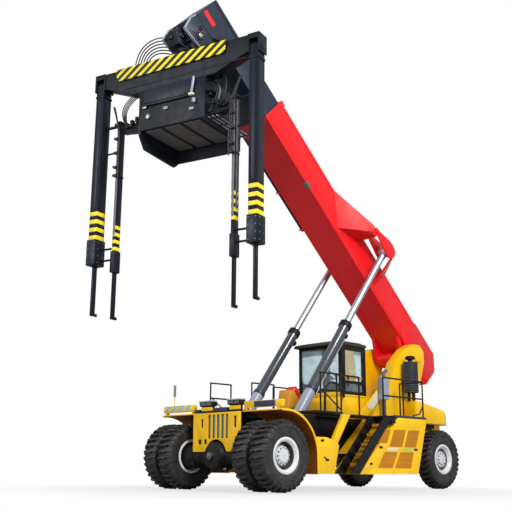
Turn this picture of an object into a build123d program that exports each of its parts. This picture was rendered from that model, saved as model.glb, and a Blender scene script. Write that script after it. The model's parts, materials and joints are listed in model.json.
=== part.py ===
from build123d import *
import os
from math import cos, sin, tan, radians, degrees, atan2, hypot

# Reach stacker with a four-leg combi spreader, in millimetres.
# Machine frame while modelling: +X forward, +Y to the machine's left, +Z up, with
# X = 0 and Z = 0 on the ground under the front axle. The finished part is moved so
# that its origin is the middle of its bounding box at ground level.

os.makedirs("parts", exist_ok=True)

# ---------------------------------------------------------------- driving sizes
wheelbase = 7000
tyre_diameter = 1670
tyre_width = 490
bead_diameter = 800          # tyre seat on the rim
front_twin_y = 1709          # middle of each pair of front wheels
twin_spacing = 612           # centre to centre of two twin tyres
groove_count = 20            # cross grooves between a tyre's lugs
groove_depth = 30
groove_width = 62
groove_slant = 24            # degrees off the tyre's axis
rear_wheel_y = 1530
kingpin_y = 1060
frame_half_width = 760
frame_bottom = 950
deck_height = 1930           # top of deck and walkways
deck_thickness = 40
body_half_width = 2120       # outside of the side tanks and walkways
body_bottom = 420            # underside of the side tanks and fenders

luff_angle = 43.5            # boom elevation as parked
pivot_x = -wheelbase         # boom pivot, above the rear axle
pivot_z = 3900
pivot_pin_radius = 110
boom_width = 1100
boom_bottom = 250            # boom underside above the pivot line
boom_depth = 880
boom_front = 8650            # mouth of the outer boom, along the boom from the pivot
boom_tail = 1290             # how far the boom reaches behind the pivot
inner_inset = 60             # how much smaller than the outer boom the inner one is, each side
boom_hollow_start = 500      # back end of the outer boom's hollow
head_bottom = 30

lift_y = 990                 # lift cylinders' centre planes
lift_foot_x = -1490
lift_foot_z = 1640
lift_eye_u = 3160            # cylinder eye on the boom, along and above the pivot line
lift_eye_v = 1165
lift_barrel_radius = 145
lift_barrel_length = 3580
lift_rod_radius = 95
lift_rod_length = 4045
lift_eye_radius = 190
lift_eye_width = 260
lift_pin_radius = 70

hanger_u = 11450             # hanger pin, along and above the pivot line
hanger_v = -230
hanger_pin_radius = 60
slew_angle = 16.6            # spreader turned to the left as parked
beam_forward = 408           # spreader beam ahead of the slew axis
side_offset = -52            # spreader's middle, left of the slew axis
slew_radius = 340
leg_spacing = 4840           # between the two thick legs
slew_height = 235            # from the hanger's ring down to the beam's top
beam_depth = 620
beam_width = 320
box_drop = 1970              # floor of the box below the beam's top
box_lip_drop = 2420
box_front = 200
box_back = -1560
box_chamfer = 500            # slope that clears the boom when it is fully raised
box_half_width = 1030
leg_pin_drop = 320
leg_foot_drop = 6660         # legs' feet below the beam's top

cab_front = -wheelbase + 3380
cab_back = -wheelbase + 2300
cab_half_width = 800
cab_floor = 2500
cab_top = 3950
cab_wall = 50
glass_thickness = 12

pin_gap = 0.5                # radial running gap at pins and glands
seat_gap = 0.3               # between faces that turn or rest on each other

# ---------------------------------------------------------------- derived places
axle_z = tyre_diameter / 2
tyre_radius = tyre_diameter / 2
deck_bottom = deck_height - deck_thickness
luff = radians(luff_angle)
slew = radians(slew_angle)


def boom_point(u, v):
    """Machine X and Z of a point u along the boom and v above the pivot line."""
    return (pivot_x + u * cos(luff) - v * sin(luff), pivot_z + u * sin(luff) + v * cos(luff))


lift_eye_x, lift_eye_z = boom_point(lift_eye_u, lift_eye_v)
lift_length = hypot(lift_eye_x - lift_foot_x, lift_eye_z - lift_foot_z)
lift_angle = atan2(lift_eye_z - lift_foot_z, lift_eye_x - lift_foot_x)
hanger_x, hanger_z = boom_point(hanger_u, hanger_v)
retract_stroke = hanger_u - 400 - boom_front    # how far the inner boom slides in from rest
inner_start = boom_hollow_start + retract_stroke + 60
head_start = hanger_u - 1150
head_front = hanger_u + 500
ring_top = hanger_z - 290    # hanger's slewing ring
ring_bottom = ring_top - 120
beam_top = ring_bottom - slew_height
box_bottom = beam_top - box_drop
box_lip_bottom = beam_top - box_lip_drop
leg_pin_z = beam_top - leg_pin_drop
leg_foot_z = beam_top - leg_foot_drop

parts = {}


# ---------------------------------------------------------------- helpers
def block(x0, x1, y0, y1, z0, z1):
    """Box between two corners."""
    middle = Pos((x0 + x1) / 2, (y0 + y1) / 2, (z0 + z1) / 2)
    return middle * Box(abs(x1 - x0), abs(y1 - y0), abs(z1 - z0))


def outline(points, corner=0):
    """Face inside a closed outline, with its corners rounded when a corner radius is given."""
    if corner:
        return make_face(FilletPolyline(*points, radius=corner, close=True))
    return make_face(Polyline(*points, close=True))


def side_plate(points, y0, y1, corner=0):
    """Outline in X and Z, thick from y0 to y1."""
    plane = Plane(origin=(0, y1, 0), x_dir=(1, 0, 0), z_dir=(0, -1, 0))
    return extrude(plane * outline(points, corner), amount=y1 - y0)


def level_plate(points, z0, z1, corner=0):
    """Outline in X and Y, thick from z0 to z1."""
    return extrude(Pos(0, 0, z0) * outline(points, corner), amount=z1 - z0)


def cross_plate(points, x0, x1, corner=0):
    """Outline in Y and Z, thick from x0 to x1."""
    plane = Plane(origin=(x0, 0, 0), x_dir=(0, 1, 0), z_dir=(1, 0, 0))
    return extrude(plane * outline(points, corner), amount=x1 - x0)


def rod(start, end, radius):
    """Round bar between two points."""
    start, end = Vector(*start), Vector(*end)
    span = end - start
    bar = Cylinder(radius, span.length, align=(Align.CENTER, Align.CENTER, Align.MIN))
    return Plane(origin=start, z_dir=span) * bar


def cross_rod(x, z, y0, y1, radius):
    """Round bar along Y."""
    return rod((x, min(y0, y1), z), (x, max(y0, y1), z), radius)


def mirror_y(shape):
    return mirror(shape, about=Plane.XZ)


def boom_plane(y):
    """Plane of boom coordinates u and v at a distance y from the machine's middle."""
    return Plane(origin=(pivot_x, y, pivot_z), x_dir=(cos(luff), 0, sin(luff)), z_dir=(0, -1, 0))


def boom_plate(points, y0, y1, corner=0):
    """Outline in boom coordinates u and v, thick from y0 to y1."""
    return extrude(boom_plane(y1) * outline(points, corner), amount=y1 - y0)


def boom_block(u0, u1, y0, y1, v0, v1):
    return boom_plate([(u0, v0), (u1, v0), (u1, v1), (u0, v1)], y0, y1)


def boom_rod(u, v, y0, y1, radius):
    x, z = boom_point(u, v)
    return cross_rod(x, z, y0, y1, radius)


def tube_rail(points, radius=22):
    """Handrail of round bar through the points, with a ball at each corner."""
    rail = rod(points[0], points[1], radius)
    for start, end in zip(points[1:], points[2:]):
        rail += Pos(*start) * Sphere(radius) + rod(start, end, radius)
    return rail


def ring(profile):
    """Turn an outline of (radius, width) points about the wheel's own Y axis."""
    outline = make_face(Polyline(*[(r, y) for r, y in profile], close=True))
    return revolve(outline, axis=Axis.Y)


# ---------------------------------------------------------------- wheels
def tyre(width=tyre_width):
    """Tyre ring about Y, out to the tips of its lugs."""
    half = width / 2
    bead = bead_diameter / 2
    side = [(tyre_radius, half - 70), (tyre_radius - 25, half - 20), (tyre_radius - 160, half),
            (bead + 120, half - 5), (bead + 30, half - 55), (bead, half - 55)]
    profile = side + [(r, -y) for r, y in reversed(side)]
    body = ring(profile)
    grooves = []
    for number in range(groove_count):
        turn = Rot(0, 360 * number / groove_count, 0) * Pos(tyre_radius, 0, 0) * Rot(groove_slant, 0, 0)
        grooves.append(turn * Box(2 * groove_depth, width * 1.3, groove_width))
    return body - grooves


def single_rim(outward):
    """Rear rim: barrel, dished disc and hub, centred on the tyre; outward is +1 or -1."""
    half = tyre_width / 2 - 55
    bead = bead_diameter / 2
    barrel = ring([(bead, -half), (bead, half), (bead + 25, half), (bead + 25, half + 18),
                   (bead - 40, half + 18), (bead - 40, -half - 18), (bead + 25, -half - 18),
                   (bead + 25, -half)])
    disc = ring([(0, 20), (bead - 20, 20), (bead - 20, 45), (230, 60), (215, 130),
                 (0, 130)])
    hub = ring([(0, -130), (190, -130), (190, 30), (0, 30)])
    rim = barrel + disc + hub
    return rim if outward > 0 else mirror_y(rim)


def twin_rim():
    """Front rim for the left pair of tyres: one long barrel, centre disc and planetary hub."""
    bead = bead_diameter / 2
    half = twin_spacing / 2 + tyre_width / 2 - 55
    inner = -twin_spacing / 2 + tyre_width / 2 - 55
    barrel = ring([(bead, -half), (bead, half), (bead + 25, half), (bead + 25, half + 18),
                   (bead - 40, half + 18), (bead - 40, -half - 18), (bead + 25, -half - 18),
                   (bead + 25, -half)])
    disc = ring([(0, 60), (bead - 20, 60), (bead - 20, 95), (0, 95)])
    hub = ring([(0, -340), (240, -340), (240, 330), (215, 395), (150, 420), (0, 420)])
    return barrel + disc + hub


front_tyres = (Pos(0, -twin_spacing / 2, 0) * tyre()) + (Pos(0, twin_spacing / 2, 0) * tyre())
front_rim = twin_rim()
for side, sign in (("left", 1), ("right", -1)):
    at_front = Pos(0, sign * front_twin_y, axle_z)
    at_rear = Pos(-wheelbase, sign * rear_wheel_y, axle_z)
    parts[f"front_tyres_{side}"] = at_front * front_tyres
    parts[f"front_rim_{side}"] = at_front * (front_rim if sign > 0 else mirror_y(front_rim))
    parts[f"rear_tyre_{side}"] = at_rear * tyre()
    parts[f"rear_rim_{side}"] = at_rear * single_rim(sign)

# ---------------------------------------------------------------- front axle
hub_face = front_twin_y - 340 - seat_gap
axle_tube = 215
axle_seat = axle_z + axle_tube + 20
beam_inside = frame_half_width - 200
frame_front = 150
front_axle = cross_rod(0, axle_z, -hub_face, hub_face, 150)
for sign in (1, -1):
    front_axle += cross_rod(0, axle_z, sign * 900, sign * (hub_face - 60), 300)
    front_axle += block(-230, frame_front, sign * beam_inside, sign * frame_half_width, axle_z, axle_seat)
front_axle += cross_rod(0, axle_z, -900, 900, axle_tube)
bell_profile = [(-420, 0), (-420, 180), (-300, 300), (-120, 345), (240, 345), (330, 310), (385, 230),
                (400, 130), (440, 110), (440, 0)]          # x ahead of the axle, radius
bell = make_face(Polyline(*bell_profile, close=True))
front_axle += Pos(0, 0, axle_z) * (Rot(90, 0, 0) * revolve(bell, axis=Axis.X))
front_axle += block(-60, 90, -260, 260, 500, 560) + block(-30, 60, -240, -200, 540, axle_z)
front_axle += block(-30, 60, 200, 240, 540, axle_z)
parts["front_axle"] = front_axle

# ---------------------------------------------------------------- steered axle
axle_end = kingpin_y - 150
rear_axle = block(-wheelbase - 170, -wheelbase + 170, -axle_end, axle_end, axle_z - 150, axle_z + 150)
rear_axle += block(-wheelbase - 260, -wheelbase + 260, -300, 300, axle_z - 180, frame_bottom + 120)
for sign in (1, -1):
    for z0, z1 in ((axle_z - 190, axle_z - 130), (axle_z + 130, axle_z + 190)):
        ear = block(-wheelbase - 120, -wheelbase + 120, sign * (axle_end - 120), sign * kingpin_y, z0, z1)
        ear += Pos(-wheelbase, sign * kingpin_y, (z0 + z1) / 2) * Cylinder(120, z1 - z0)
        rear_axle += ear
    rear_axle -= Pos(-wheelbase, sign * kingpin_y, axle_z) * Cylinder(135, 2 * (130 - seat_gap))
parts["rear_axle"] = rear_axle

knuckle = Pos(-wheelbase, kingpin_y, axle_z) * Cylinder(115, 2 * (130 - 2 * seat_gap))
knuckle += cross_rod(-wheelbase, axle_z, kingpin_y, rear_wheel_y - 130 - seat_gap, 95)
parts["knuckle_left"] = knuckle
parts["knuckle_right"] = mirror_y(knuckle)

# ---------------------------------------------------------------- chassis frame
frame_top = deck_bottom
beam_back = -wheelbase + 1250
spine_half_width = 480
tail_x = -wheelbase - 700
chassis = block(beam_back - 100, tail_x, -spine_half_width, spine_half_width, frame_bottom + 120, 1750)
chassis += block(beam_back, tail_x, -frame_half_width - 220, frame_half_width + 220, 1750, frame_top)
for sign in (1, -1):
    chassis += block(beam_back, frame_front, sign * beam_inside, sign * frame_half_width,
                     frame_bottom, frame_top)
chassis -= block(-230, frame_front + 10, -1000, 1000, 0, axle_seat)
for x0, x1, z0 in ((-200, frame_front, 1300), (-1900, -1300, frame_bottom), (-3700, -3500, frame_bottom),
                   (beam_back - 100, beam_back + 150, frame_bottom)):
    chassis += block(x0, x1, -beam_inside - 10, beam_inside + 10, z0, frame_top)
for sign in (1, -1):
    chassis += block(lift_foot_x - 320, lift_foot_x + 320, sign * (frame_half_width - 10),
                     sign * (lift_y + 190), lift_foot_z - 450, lift_foot_z - 260)
    for inner, outer in ((lift_y - 190, lift_y - 150), (lift_y + 150, lift_y + 190)):
        foot_side = [(lift_foot_x - 300, lift_foot_z - 270), (lift_foot_x + 300, lift_foot_z - 270),
                   (lift_foot_x + 130, lift_foot_z + 120), (lift_foot_x - 130, lift_foot_z + 120)]
        y0, y1 = sorted((sign * inner, sign * outer))
        chassis += side_plate(foot_side, y0, y1)
    chassis += cross_rod(lift_foot_x, lift_foot_z, sign * (lift_y - 190), sign * (lift_y + 190),
                         lift_pin_radius)
parts["chassis_frame"] = chassis

# ---------------------------------------------------------------- front panel
panel_half = 880
panel_x = 230
panel = cross_plate([(-panel_half, 940), (panel_half - 330, 940), (panel_half - 110, 1250),
                     (panel_half, 1400), (panel_half, deck_bottom), (-panel_half, deck_bottom)],
                    panel_x - 40, panel_x)
panel -= Pos(panel_x, 0, axle_z) * Rot(0, 90, 0) * Cylinder(400, 200)
slot_table = [(-540, 1530, 1740, 40), (700, 1510, 1790, 45), (-620, 1120, 1240, 65),
              (-400, 1120, 1240, 50)]                       # y, bottom, top, half width
for y, z0, z1, half in slot_table:
    panel -= block(panel_x - 100, panel_x + 100, y - half, y + half, z0, z1)
slats_right, slats_left = -310, 450
slats_bottom, slats_top = 1260, 1840
panel -= block(panel_x - 100, panel_x + 100, slats_right, slats_left, slats_bottom, slats_top)
slat_count, slat_width = 4, 66
slat_space = (slats_left - slats_right - slat_count * slat_width) / (slat_count + 1)
for number in range(slat_count):
    y = slats_right + slat_space + number * (slat_space + slat_width)
    panel += block(panel_x - 30, panel_x - 5, y, y + slat_width, slats_bottom - 5, slats_top + 5)
for sign in (1, -1):
    panel += block(frame_front, panel_x - 40, sign * beam_inside, sign * frame_half_width, 1100, deck_bottom)
parts["front_panel"] = panel

# ---------------------------------------------------------------- fenders and decks
fender_radius = 1070
fender_skin = 30
fender_outer = 2260
fender_inner = panel_half + 20


def fender_shape():
    """Arched skin over the front tyres, its inner web and the arm that carries it."""
    inside = fender_radius - fender_skin
    skin = cross_rod(0, axle_z, fender_inner, fender_outer, fender_radius)
    skin -= cross_rod(0, axle_z, fender_inner - 10, fender_outer + 10, inside)
    skin &= block(-fender_radius - 10, 0, fender_inner, fender_outer, axle_z, axle_z + fender_radius + 10)
    skin += block(0, 170, fender_inner, fender_outer, axle_z + inside, axle_z + fender_radius)
    skin += block(-fender_radius, -inside, fender_inner, fender_outer, body_bottom, axle_z)
    web = side_plate([(-1060, 850), (-760, 1560), (-300, 1890), (-1160, 1890), (-1160, 850)],
                     fender_inner, fender_inner + 30)
    arm = block(-1160, -fender_radius + 5, frame_half_width, fender_inner + 30, 980, 1150)
    return skin + web + arm


parts["fender_left"] = fender_shape()
parts["fender_right"] = mirror_y(fender_shape())

deck = block(-3500, 190, -panel_half, panel_half, deck_bottom, deck_height)
for sign in (1, -1):
    deck -= block(lift_foot_x - 1100, lift_foot_x + 420, sign * (lift_y - 230), sign * (lift_y + 400), 0, 3000)
parts["front_deck"] = deck

tank_front, tank_back = -2690, -wheelbase + 1300
walk_inner = 1230
stair_inner = 1640
walkway = block(-3480, -1110, walk_inner, stair_inner, deck_bottom, deck_height)
walkway += block(-2150, -1110, stair_inner, body_half_width, deck_bottom, deck_height)
walkway += block(tank_back, -3480, frame_half_width + 260, stair_inner, deck_bottom, deck_height)
walkway += block(tank_back, -3870, stair_inner, body_half_width, deck_bottom, deck_height)
parts["walkway_left"] = walkway
parts["walkway_right"] = mirror_y(walkway)

# ---------------------------------------------------------------- side tanks and stairs
tank_outline = [(tank_front, body_bottom), (tank_back + 480, body_bottom), (tank_back, deck_bottom),
                (-4400, deck_bottom)]
# grilles: corners as x ahead of the tank's back edge and height, from the lower front one round
grille_table = [
    [(1720, 1120), (1490, 1560), (970, 1570), (1140, 1120)],
    [(1070, 1120), (870, 1570), (340, 1580), (540, 1120)],
    [(2240, 570), (1920, 980), (1350, 980), (1590, 570)],
    [(1520, 570), (1250, 980), (650, 990), (780, 570)],
    [(2190, 1210), (1960, 1550), (1630, 1560), (1800, 1210)],
]


def side_tank():
    """Side tank with slanting ends and sunk grille panels."""
    tank = side_plate(tank_outline, 900, body_half_width)
    tank -= block(-wheelbase + 1000, -2000, 500, 1240, 0, 940)
    tank += block(tank_back + 700, tank_back + 1200, frame_half_width, 950, 1100, 1600)
    for corners in grille_table:
        hole = [(tank_back + x, z) for x, z in corners]
        tank -= side_plate(hole, body_half_width - 25, body_half_width + 10, 30)
    return tank


parts["side_tank_left"] = side_tank()
parts["side_tank_right"] = mirror_y(side_tank())

service = side_plate([(-1180, 430), (-1830, 430), (-2020, 1120), (-1860, 1220), (-1560, 1300), (-1180, 1300)],
                     1500, 2080, 40)
service += block(-1800, -1300, frame_half_width, 1520, 1000, 1180)
brace = side_plate([(-1900, 1000), (-2010, 1180), (-2500, deck_bottom), (-2230, deck_bottom), (-1800, 1200)],
                   1960, 2060)
service += brace
parts["service_box_left"] = service
parts["service_box_right"] = mirror_y(service)

stair_outer = 2200
stair_front, stair_width = -2330, 330       # foot of the stringers and how wide they are along X
stair_run = 1390                            # how far the stair leans back over its height
stair_top = deck_bottom - seat_gap
stair_slope = [(stair_front, 430), (stair_front - stair_width, 430),
               (stair_front - stair_width - stair_run, stair_top), (stair_front - stair_run, stair_top)]
tread_count = 5


def staircase():
    steps = side_plate(stair_slope, stair_inner + 10, stair_inner + 50)
    steps += side_plate(stair_slope, stair_outer - 40, stair_outer)
    rise = (deck_height - 430) / (tread_count + 1)
    run = stair_run / (tread_count + 1)
    for number in range(1, tread_count + 1):
        x = stair_front - stair_width / 2 - number * run
        steps += block(x - 130, x + 130, stair_inner + 40, stair_outer - 30,
                       430 + number * rise - 20, 430 + number * rise + 20)
    back = stair_front - stair_width - stair_run
    steps += block(back - 130, back + 60, stair_inner + 10, stair_outer, deck_bottom - 160, deck_bottom)
    return steps


parts["stairs_left"] = staircase()
parts["stairs_right"] = mirror_y(staircase())

# ---------------------------------------------------------------- counterweight
tower_in, tower_out = 620, 970
tail_back = -wheelbase - 1100
weight_front = -wheelbase + 850
weight_plan = [(weight_front, 1500), (-wheelbase - 500, 1500), (tail_back, 1150), (tail_back, -1150),
               (-wheelbase - 500, -1500), (weight_front, -1500)]
weight = level_plate(weight_plan, frame_top - 40, 2480, 110)
weight -= side_plate([(weight_front - 50, 2480), (tail_back - 50, 2120), (tail_back - 50, 2600),
                      (weight_front - 50, 2600)], -1600, 1600)
weight -= block(tail_x, weight_front + 150, -frame_half_width - 220, frame_half_width + 220, 1000, frame_top)
weight -= block(-wheelbase - 400, weight_front + 150, -tower_out - 60, tower_out + 60, frame_top - 50, 2600)
weight += block(tail_back, tail_x, -500, 500, 760, 1700)
weight += block(tail_back, tail_x, -900, 900, 1690, frame_top + 10)
hitch = block(tail_back - 160, tail_back + 20, -90, 90, 980, 1030)
hitch += block(tail_back - 160, tail_back + 20, -90, 90, 1130, 1180)
hitch -= Pos(tail_back - 90, 0, 1080) * Cylinder(30, 400)
parts["counterweight"] = weight + hitch

# ---------------------------------------------------------------- towers that carry the boom
# side of a tower: x ahead of the boom pivot, height above the deck beams
tower_side = [(2230, 0), (1800, 910), (1440, 1060), (1090, 1720), (570, 2180), (200, 2350), (-130, 2350),
              (-320, 2180), (-330, 1820), (-120, 1250), (150, 900), (150, 0)]
tower_outline = [(pivot_x + x, frame_top + z) for x, z in tower_side]
# slanting cover on the outside of each tower's front foot
cover_side = [(2920, 60), (1830, 1010), (1640, 830), (2450, 60)]
cover_outline = [(pivot_x + x, deck_height + z) for x, z in cover_side]
towers = Part()
for sign in (1, -1):
    y0, y1 = sorted((sign * tower_in, sign * tower_out))
    tower = side_plate(tower_outline, y0, y1, 60)
    y0, y1 = sorted((sign * tower_out, sign * (tower_out + 30)))
    tower += side_plate(cover_outline, y0, y1, 40)
    tower += cross_rod(pivot_x, pivot_z, sign * tower_out, sign * (tower_out + 40), 190)
    tower -= cross_rod(pivot_x, pivot_z, 0, sign * (tower_out - 20), pivot_pin_radius + pin_gap)
    towers += tower
parts["boom_towers"] = towers

# ---------------------------------------------------------------- engine, hood, air cleaner, exhaust
engine = block(-wheelbase + 1600, -wheelbase + 3100, -500, 500, frame_bottom + 20, deck_bottom - 60)
for x in (-wheelbase + 1850, -wheelbase + 2800):
    engine += block(x - 60, x + 60, -beam_inside, beam_inside, 1150, 1250)
parts["engine_block"] = engine
hood_back, hood_front = -wheelbase - 300, -wheelbase + 2170
hood = side_plate([(hood_front, frame_top), (hood_front, 2350), (hood_front - 270, 2600), (hood_back + 800, 2600),
                   (hood_back, 2350), (hood_back, frame_top)], -tower_in + 30, tower_in - 30, 60)
parts["engine_hood"] = hood

cleaner_x, cleaner_y, cleaner_radius = -wheelbase + 750, 1230, 205
cleaner = rod((cleaner_x, cleaner_y, 2720), (cleaner_x, cleaner_y, 3620), cleaner_radius)
cleaner += rod((cleaner_x, cleaner_y, 3600), (cleaner_x, cleaner_y, 3760), 70)
for dx in (-110, 110):
    cleaner += rod((cleaner_x + dx, cleaner_y, 2480), (cleaner_x + dx, cleaner_y, 2740), 45)
cleaner += block(cleaner_x - 60, cleaner_x + 60, tower_out, cleaner_y, 2900, 3000)
parts["air_cleaner"] = cleaner

stack_x, stack_y = tank_back + 650, 1150
stack = rod((stack_x, stack_y, deck_height), (stack_x, stack_y, 2500), 60)
stack += rod((stack_x, stack_y, 2480), (stack_x, stack_y, 3050), 90)
stack += tube_rail([(stack_x, stack_y, 3000), (stack_x, stack_y, 3200), (stack_x - 140, stack_y, 3300)], 50)
parts["exhaust_stack"] = stack

# ---------------------------------------------------------------- handrails
rail_top = deck_height + 1000
rail_mid = deck_height + 520
rail_radius = 22
edge = body_half_width - 40
rail_back = tank_back + 100


def post(x, y, top=rail_top):
    return rod((x, y, deck_height), (x, y, top), rail_radius)


rails = tube_rail([(-3830, edge, deck_height), (-3830, edge, rail_top), (rail_back, edge, rail_top),
                   (rail_back, edge, deck_height)])
rails += rod((-3830, edge, rail_mid), (rail_back, edge, rail_mid), rail_radius) + post(-4700, edge)
rails += rod((rail_back, edge, rail_top), (rail_back, 1300, rail_top), rail_radius) + post(rail_back, 1300)
rails += tube_rail([(rail_back + 450, edge, deck_height), (rail_back + 450, edge, deck_height + 60), (rail_back + 180, edge, deck_height + 100),
                    (rail_back, edge, deck_height + 330)], rail_radius - 4)
front_rails = tube_rail([(-1350, edge, deck_height), (-1350, edge, rail_top - 60), (-2120, edge, rail_top - 60),
                         (-2120, edge, deck_height)])
front_rails += rod((-1350, edge, rail_mid), (-2120, edge, rail_mid), rail_radius)
front_rails += rod((-1400, edge, rail_mid), (-2100, edge, deck_height + 60), rail_radius - 6)
stair_rail = tube_rail([(-2500, stair_inner - 30, deck_height), (-2500, stair_inner - 30, rail_top),
                        (-3400, stair_inner - 30, rail_top), (-3400, stair_inner - 30, deck_height)])
parts["handrails_left"] = rails + front_rails + stair_rail
parts["handrails_right"] = mirror_y(rails + front_rails + stair_rail)

# ---------------------------------------------------------------- lamps and width bars
lamps = Part()
lamp_table = [(-450, 250), (610, 240)]          # y of the lamp's middle, half its width
for y, half in lamp_table:
    hood_side = [(60, 2050), (190, 2070), (200, 2170), (60, 2190), (20, 2150), (20, 2080)]
    lamps += side_plate(hood_side, y - half, y + half, 12)
    lamps += block(80, 130, y - half + 40, y + half - 40, deck_height, 2060)
parts["work_lamps"] = lamps
bars = Part()
for sign in (1, -1):
    bars += block(60, 160, sign * 950, sign * 2230, 1960, 2120)
    bars += block(60, 160, sign * 1000, sign * 1050, 1905, 1970)
    bars += block(60, 160, sign * 2100, sign * 2150, 1905, 1970)
bars += rod((110, -1840, 2110), (110, -1840, 2400), 12) + rod((110, -1840, 2380), (110, -1840, 2690), 32)
parts["width_bars"] = bars

# ---------------------------------------------------------------- cab
cab_base = side_plate([(cab_front + 70, frame_top), (cab_front + 70, cab_floor - 120), (cab_front, cab_floor),
                       (cab_back, cab_floor), (cab_back - 60, frame_top)], -cab_half_width, cab_half_width)
parts["cab_base"] = cab_base
front_window = (cab_floor + 130, cab_top - 90)
cab_inside = (cab_back + cab_wall, cab_front - cab_wall)
inner_floor = cab_floor + cab_wall
cab_bars = [block(cab_back, cab_front, -cab_half_width, cab_half_width, cab_floor, inner_floor)]
# front and back walls: x of the wall, width of its posts, height of its sill
for (x0, x1), post_width, sill in (((cab_front - cab_wall, cab_front), 90, 130),
                                   ((cab_back, cab_back + cab_wall), 120, 500)):
    cab_bars.append(block(x0, x1, -cab_half_width, cab_half_width, inner_floor, cab_floor + sill))
    cab_bars.append(block(x0, x1, -cab_half_width, cab_half_width, cab_top - 90, cab_top))
    for sign in (1, -1):
        cab_bars.append(block(x0, x1, sign * (cab_half_width - post_width), sign * cab_half_width,
                              cab_floor + sill, cab_top - 90))
right_wall = (-cab_half_width, -cab_half_width + cab_wall)
cab_bars.append(block(*cab_inside, *right_wall, inner_floor, cab_floor + 450))
cab_bars.append(block(*cab_inside, *right_wall, cab_top - 90, cab_top))
for x0, x1 in ((cab_back + cab_wall, cab_back + 110), (cab_front - 110, cab_front - cab_wall)):
    cab_bars.append(block(x0, x1, *right_wall, cab_floor + 450, cab_top - 90))
door_gap = 6
door_back, door_front = cab_back + 90, cab_front - 120
left_wall = (cab_half_width - cab_wall, cab_half_width)
door_head = cab_top - 90 + door_gap
cab_bars.append(block(*cab_inside, *left_wall, door_head, cab_top))
cab_bars.append(block(door_front + door_gap, cab_front - cab_wall, *left_wall, inner_floor, door_head))
hinge_post = block(cab_back + cab_wall, door_back - door_gap, *left_wall, inner_floor, door_head)
hinge_x = door_back - door_gap / 2
hinge_y = cab_half_width + 25
hinge_pin, hinge_barrel = 12, 22
hinge_heights = (cab_floor + 250, cab_floor + 1050)
for z in hinge_heights:
    hinge_post += block(hinge_x - 70, hinge_x, cab_half_width, cab_half_width + 14, z, z + 60)
    hinge_post += Pos(hinge_x, hinge_y, z + 30) * Cylinder(hinge_barrel, 60)
    hinge_post += Pos(hinge_x, hinge_y, z + 90) * Cylinder(hinge_pin, 70)
parts["cab_frame"] = Compound(children=cab_bars + [hinge_post])
roof = level_plate([(cab_front + 180, -cab_half_width - 20), (cab_front + 180, cab_half_width + 20),
                    (cab_back - 40, cab_half_width + 20), (cab_back - 40, -cab_half_width - 20)],
                   cab_top, cab_top + 60, 90)
roof += side_plate([(cab_front + 120, cab_top + 50), (cab_front, cab_top + 100), (cab_back + 120, cab_top + 100),
                    (cab_back, cab_top + 50)], -cab_half_width + 60, cab_half_width - 60)
parts["cab_roof"] = roof
pane = glass_thickness
glass = block(cab_front - 35, cab_front - 35 + pane, -cab_half_width + 90, cab_half_width - 90, *front_window)
glass += block(cab_back + 20, cab_back + 20 + pane, -cab_half_width + 120, cab_half_width - 120,
               cab_floor + 500, cab_top - 90)
glass += block(cab_back + 110, cab_front - 110, -cab_half_width + 20, -cab_half_width + 20 + pane,
               cab_floor + 450, cab_top - 90)
parts["cab_glass"] = glass
door_z = (cab_floor + 60, cab_top - 90)
door = block(door_back, door_front, cab_half_width - cab_wall, cab_half_width, *door_z)
door -= block(door_back + 70, door_front - 70, cab_half_width - 100, cab_half_width + 10,
              door_z[0] + 380, door_z[1] - 70)
door -= block(door_back + 70, door_front - 70, cab_half_width - 100, cab_half_width + 10,
              door_z[0] + 80, door_z[0] + 310)
for z in hinge_heights:
    z += 60 + seat_gap
    door += block(hinge_x, hinge_x + 70, cab_half_width, cab_half_width + 14, z, z + 60)
    door += Pos(hinge_x, hinge_y, z + 30) * Cylinder(hinge_barrel, 60)
    door -= Pos(hinge_x, hinge_y, z + 30) * Cylinder(hinge_pin + pin_gap, 62)
parts["cab_door"] = door
door_glass = block(door_back + 70, door_front - 70, cab_half_width - 32, cab_half_width - 32 + pane,
                   door_z[0] + 380, door_z[1] - 70)
door_glass += block(door_back + 70, door_front - 70, cab_half_width - 32, cab_half_width - 32 + pane,
                    door_z[0] + 80, door_z[0] + 310)
parts["door_glass"] = door_glass

seat_x = (cab_front + cab_back) / 2 - 130
floor_z = cab_floor + cab_wall
seat = block(seat_x - 150, seat_x + 150, -150, 150, floor_z, floor_z + 260)
seat += block(seat_x - 240, seat_x + 260, -260, 260, floor_z + 250, floor_z + 390)
seat += side_plate([(seat_x - 130, floor_z + 380), (seat_x - 250, floor_z + 1000), (seat_x - 360, floor_z + 1000),
                    (seat_x - 260, floor_z + 300)], -240, 240)
parts["operator_seat"] = seat
console = block(seat_x + 340, seat_x + 500, -90, 90, floor_z, floor_z + 60)
console += rod((seat_x + 420, 0, floor_z + 20), (seat_x + 330, 0, floor_z + 620), 40)
console += Plane(origin=(seat_x + 330, 0, floor_z + 620), z_dir=(-0.5, 0, 0.86)) * Torus(180, 16)
console += Plane(origin=(seat_x + 330, 0, floor_z + 620), z_dir=(-0.5, 0, 0.86)) * Box(380, 40, 20)
parts["steering_column"] = console

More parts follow.
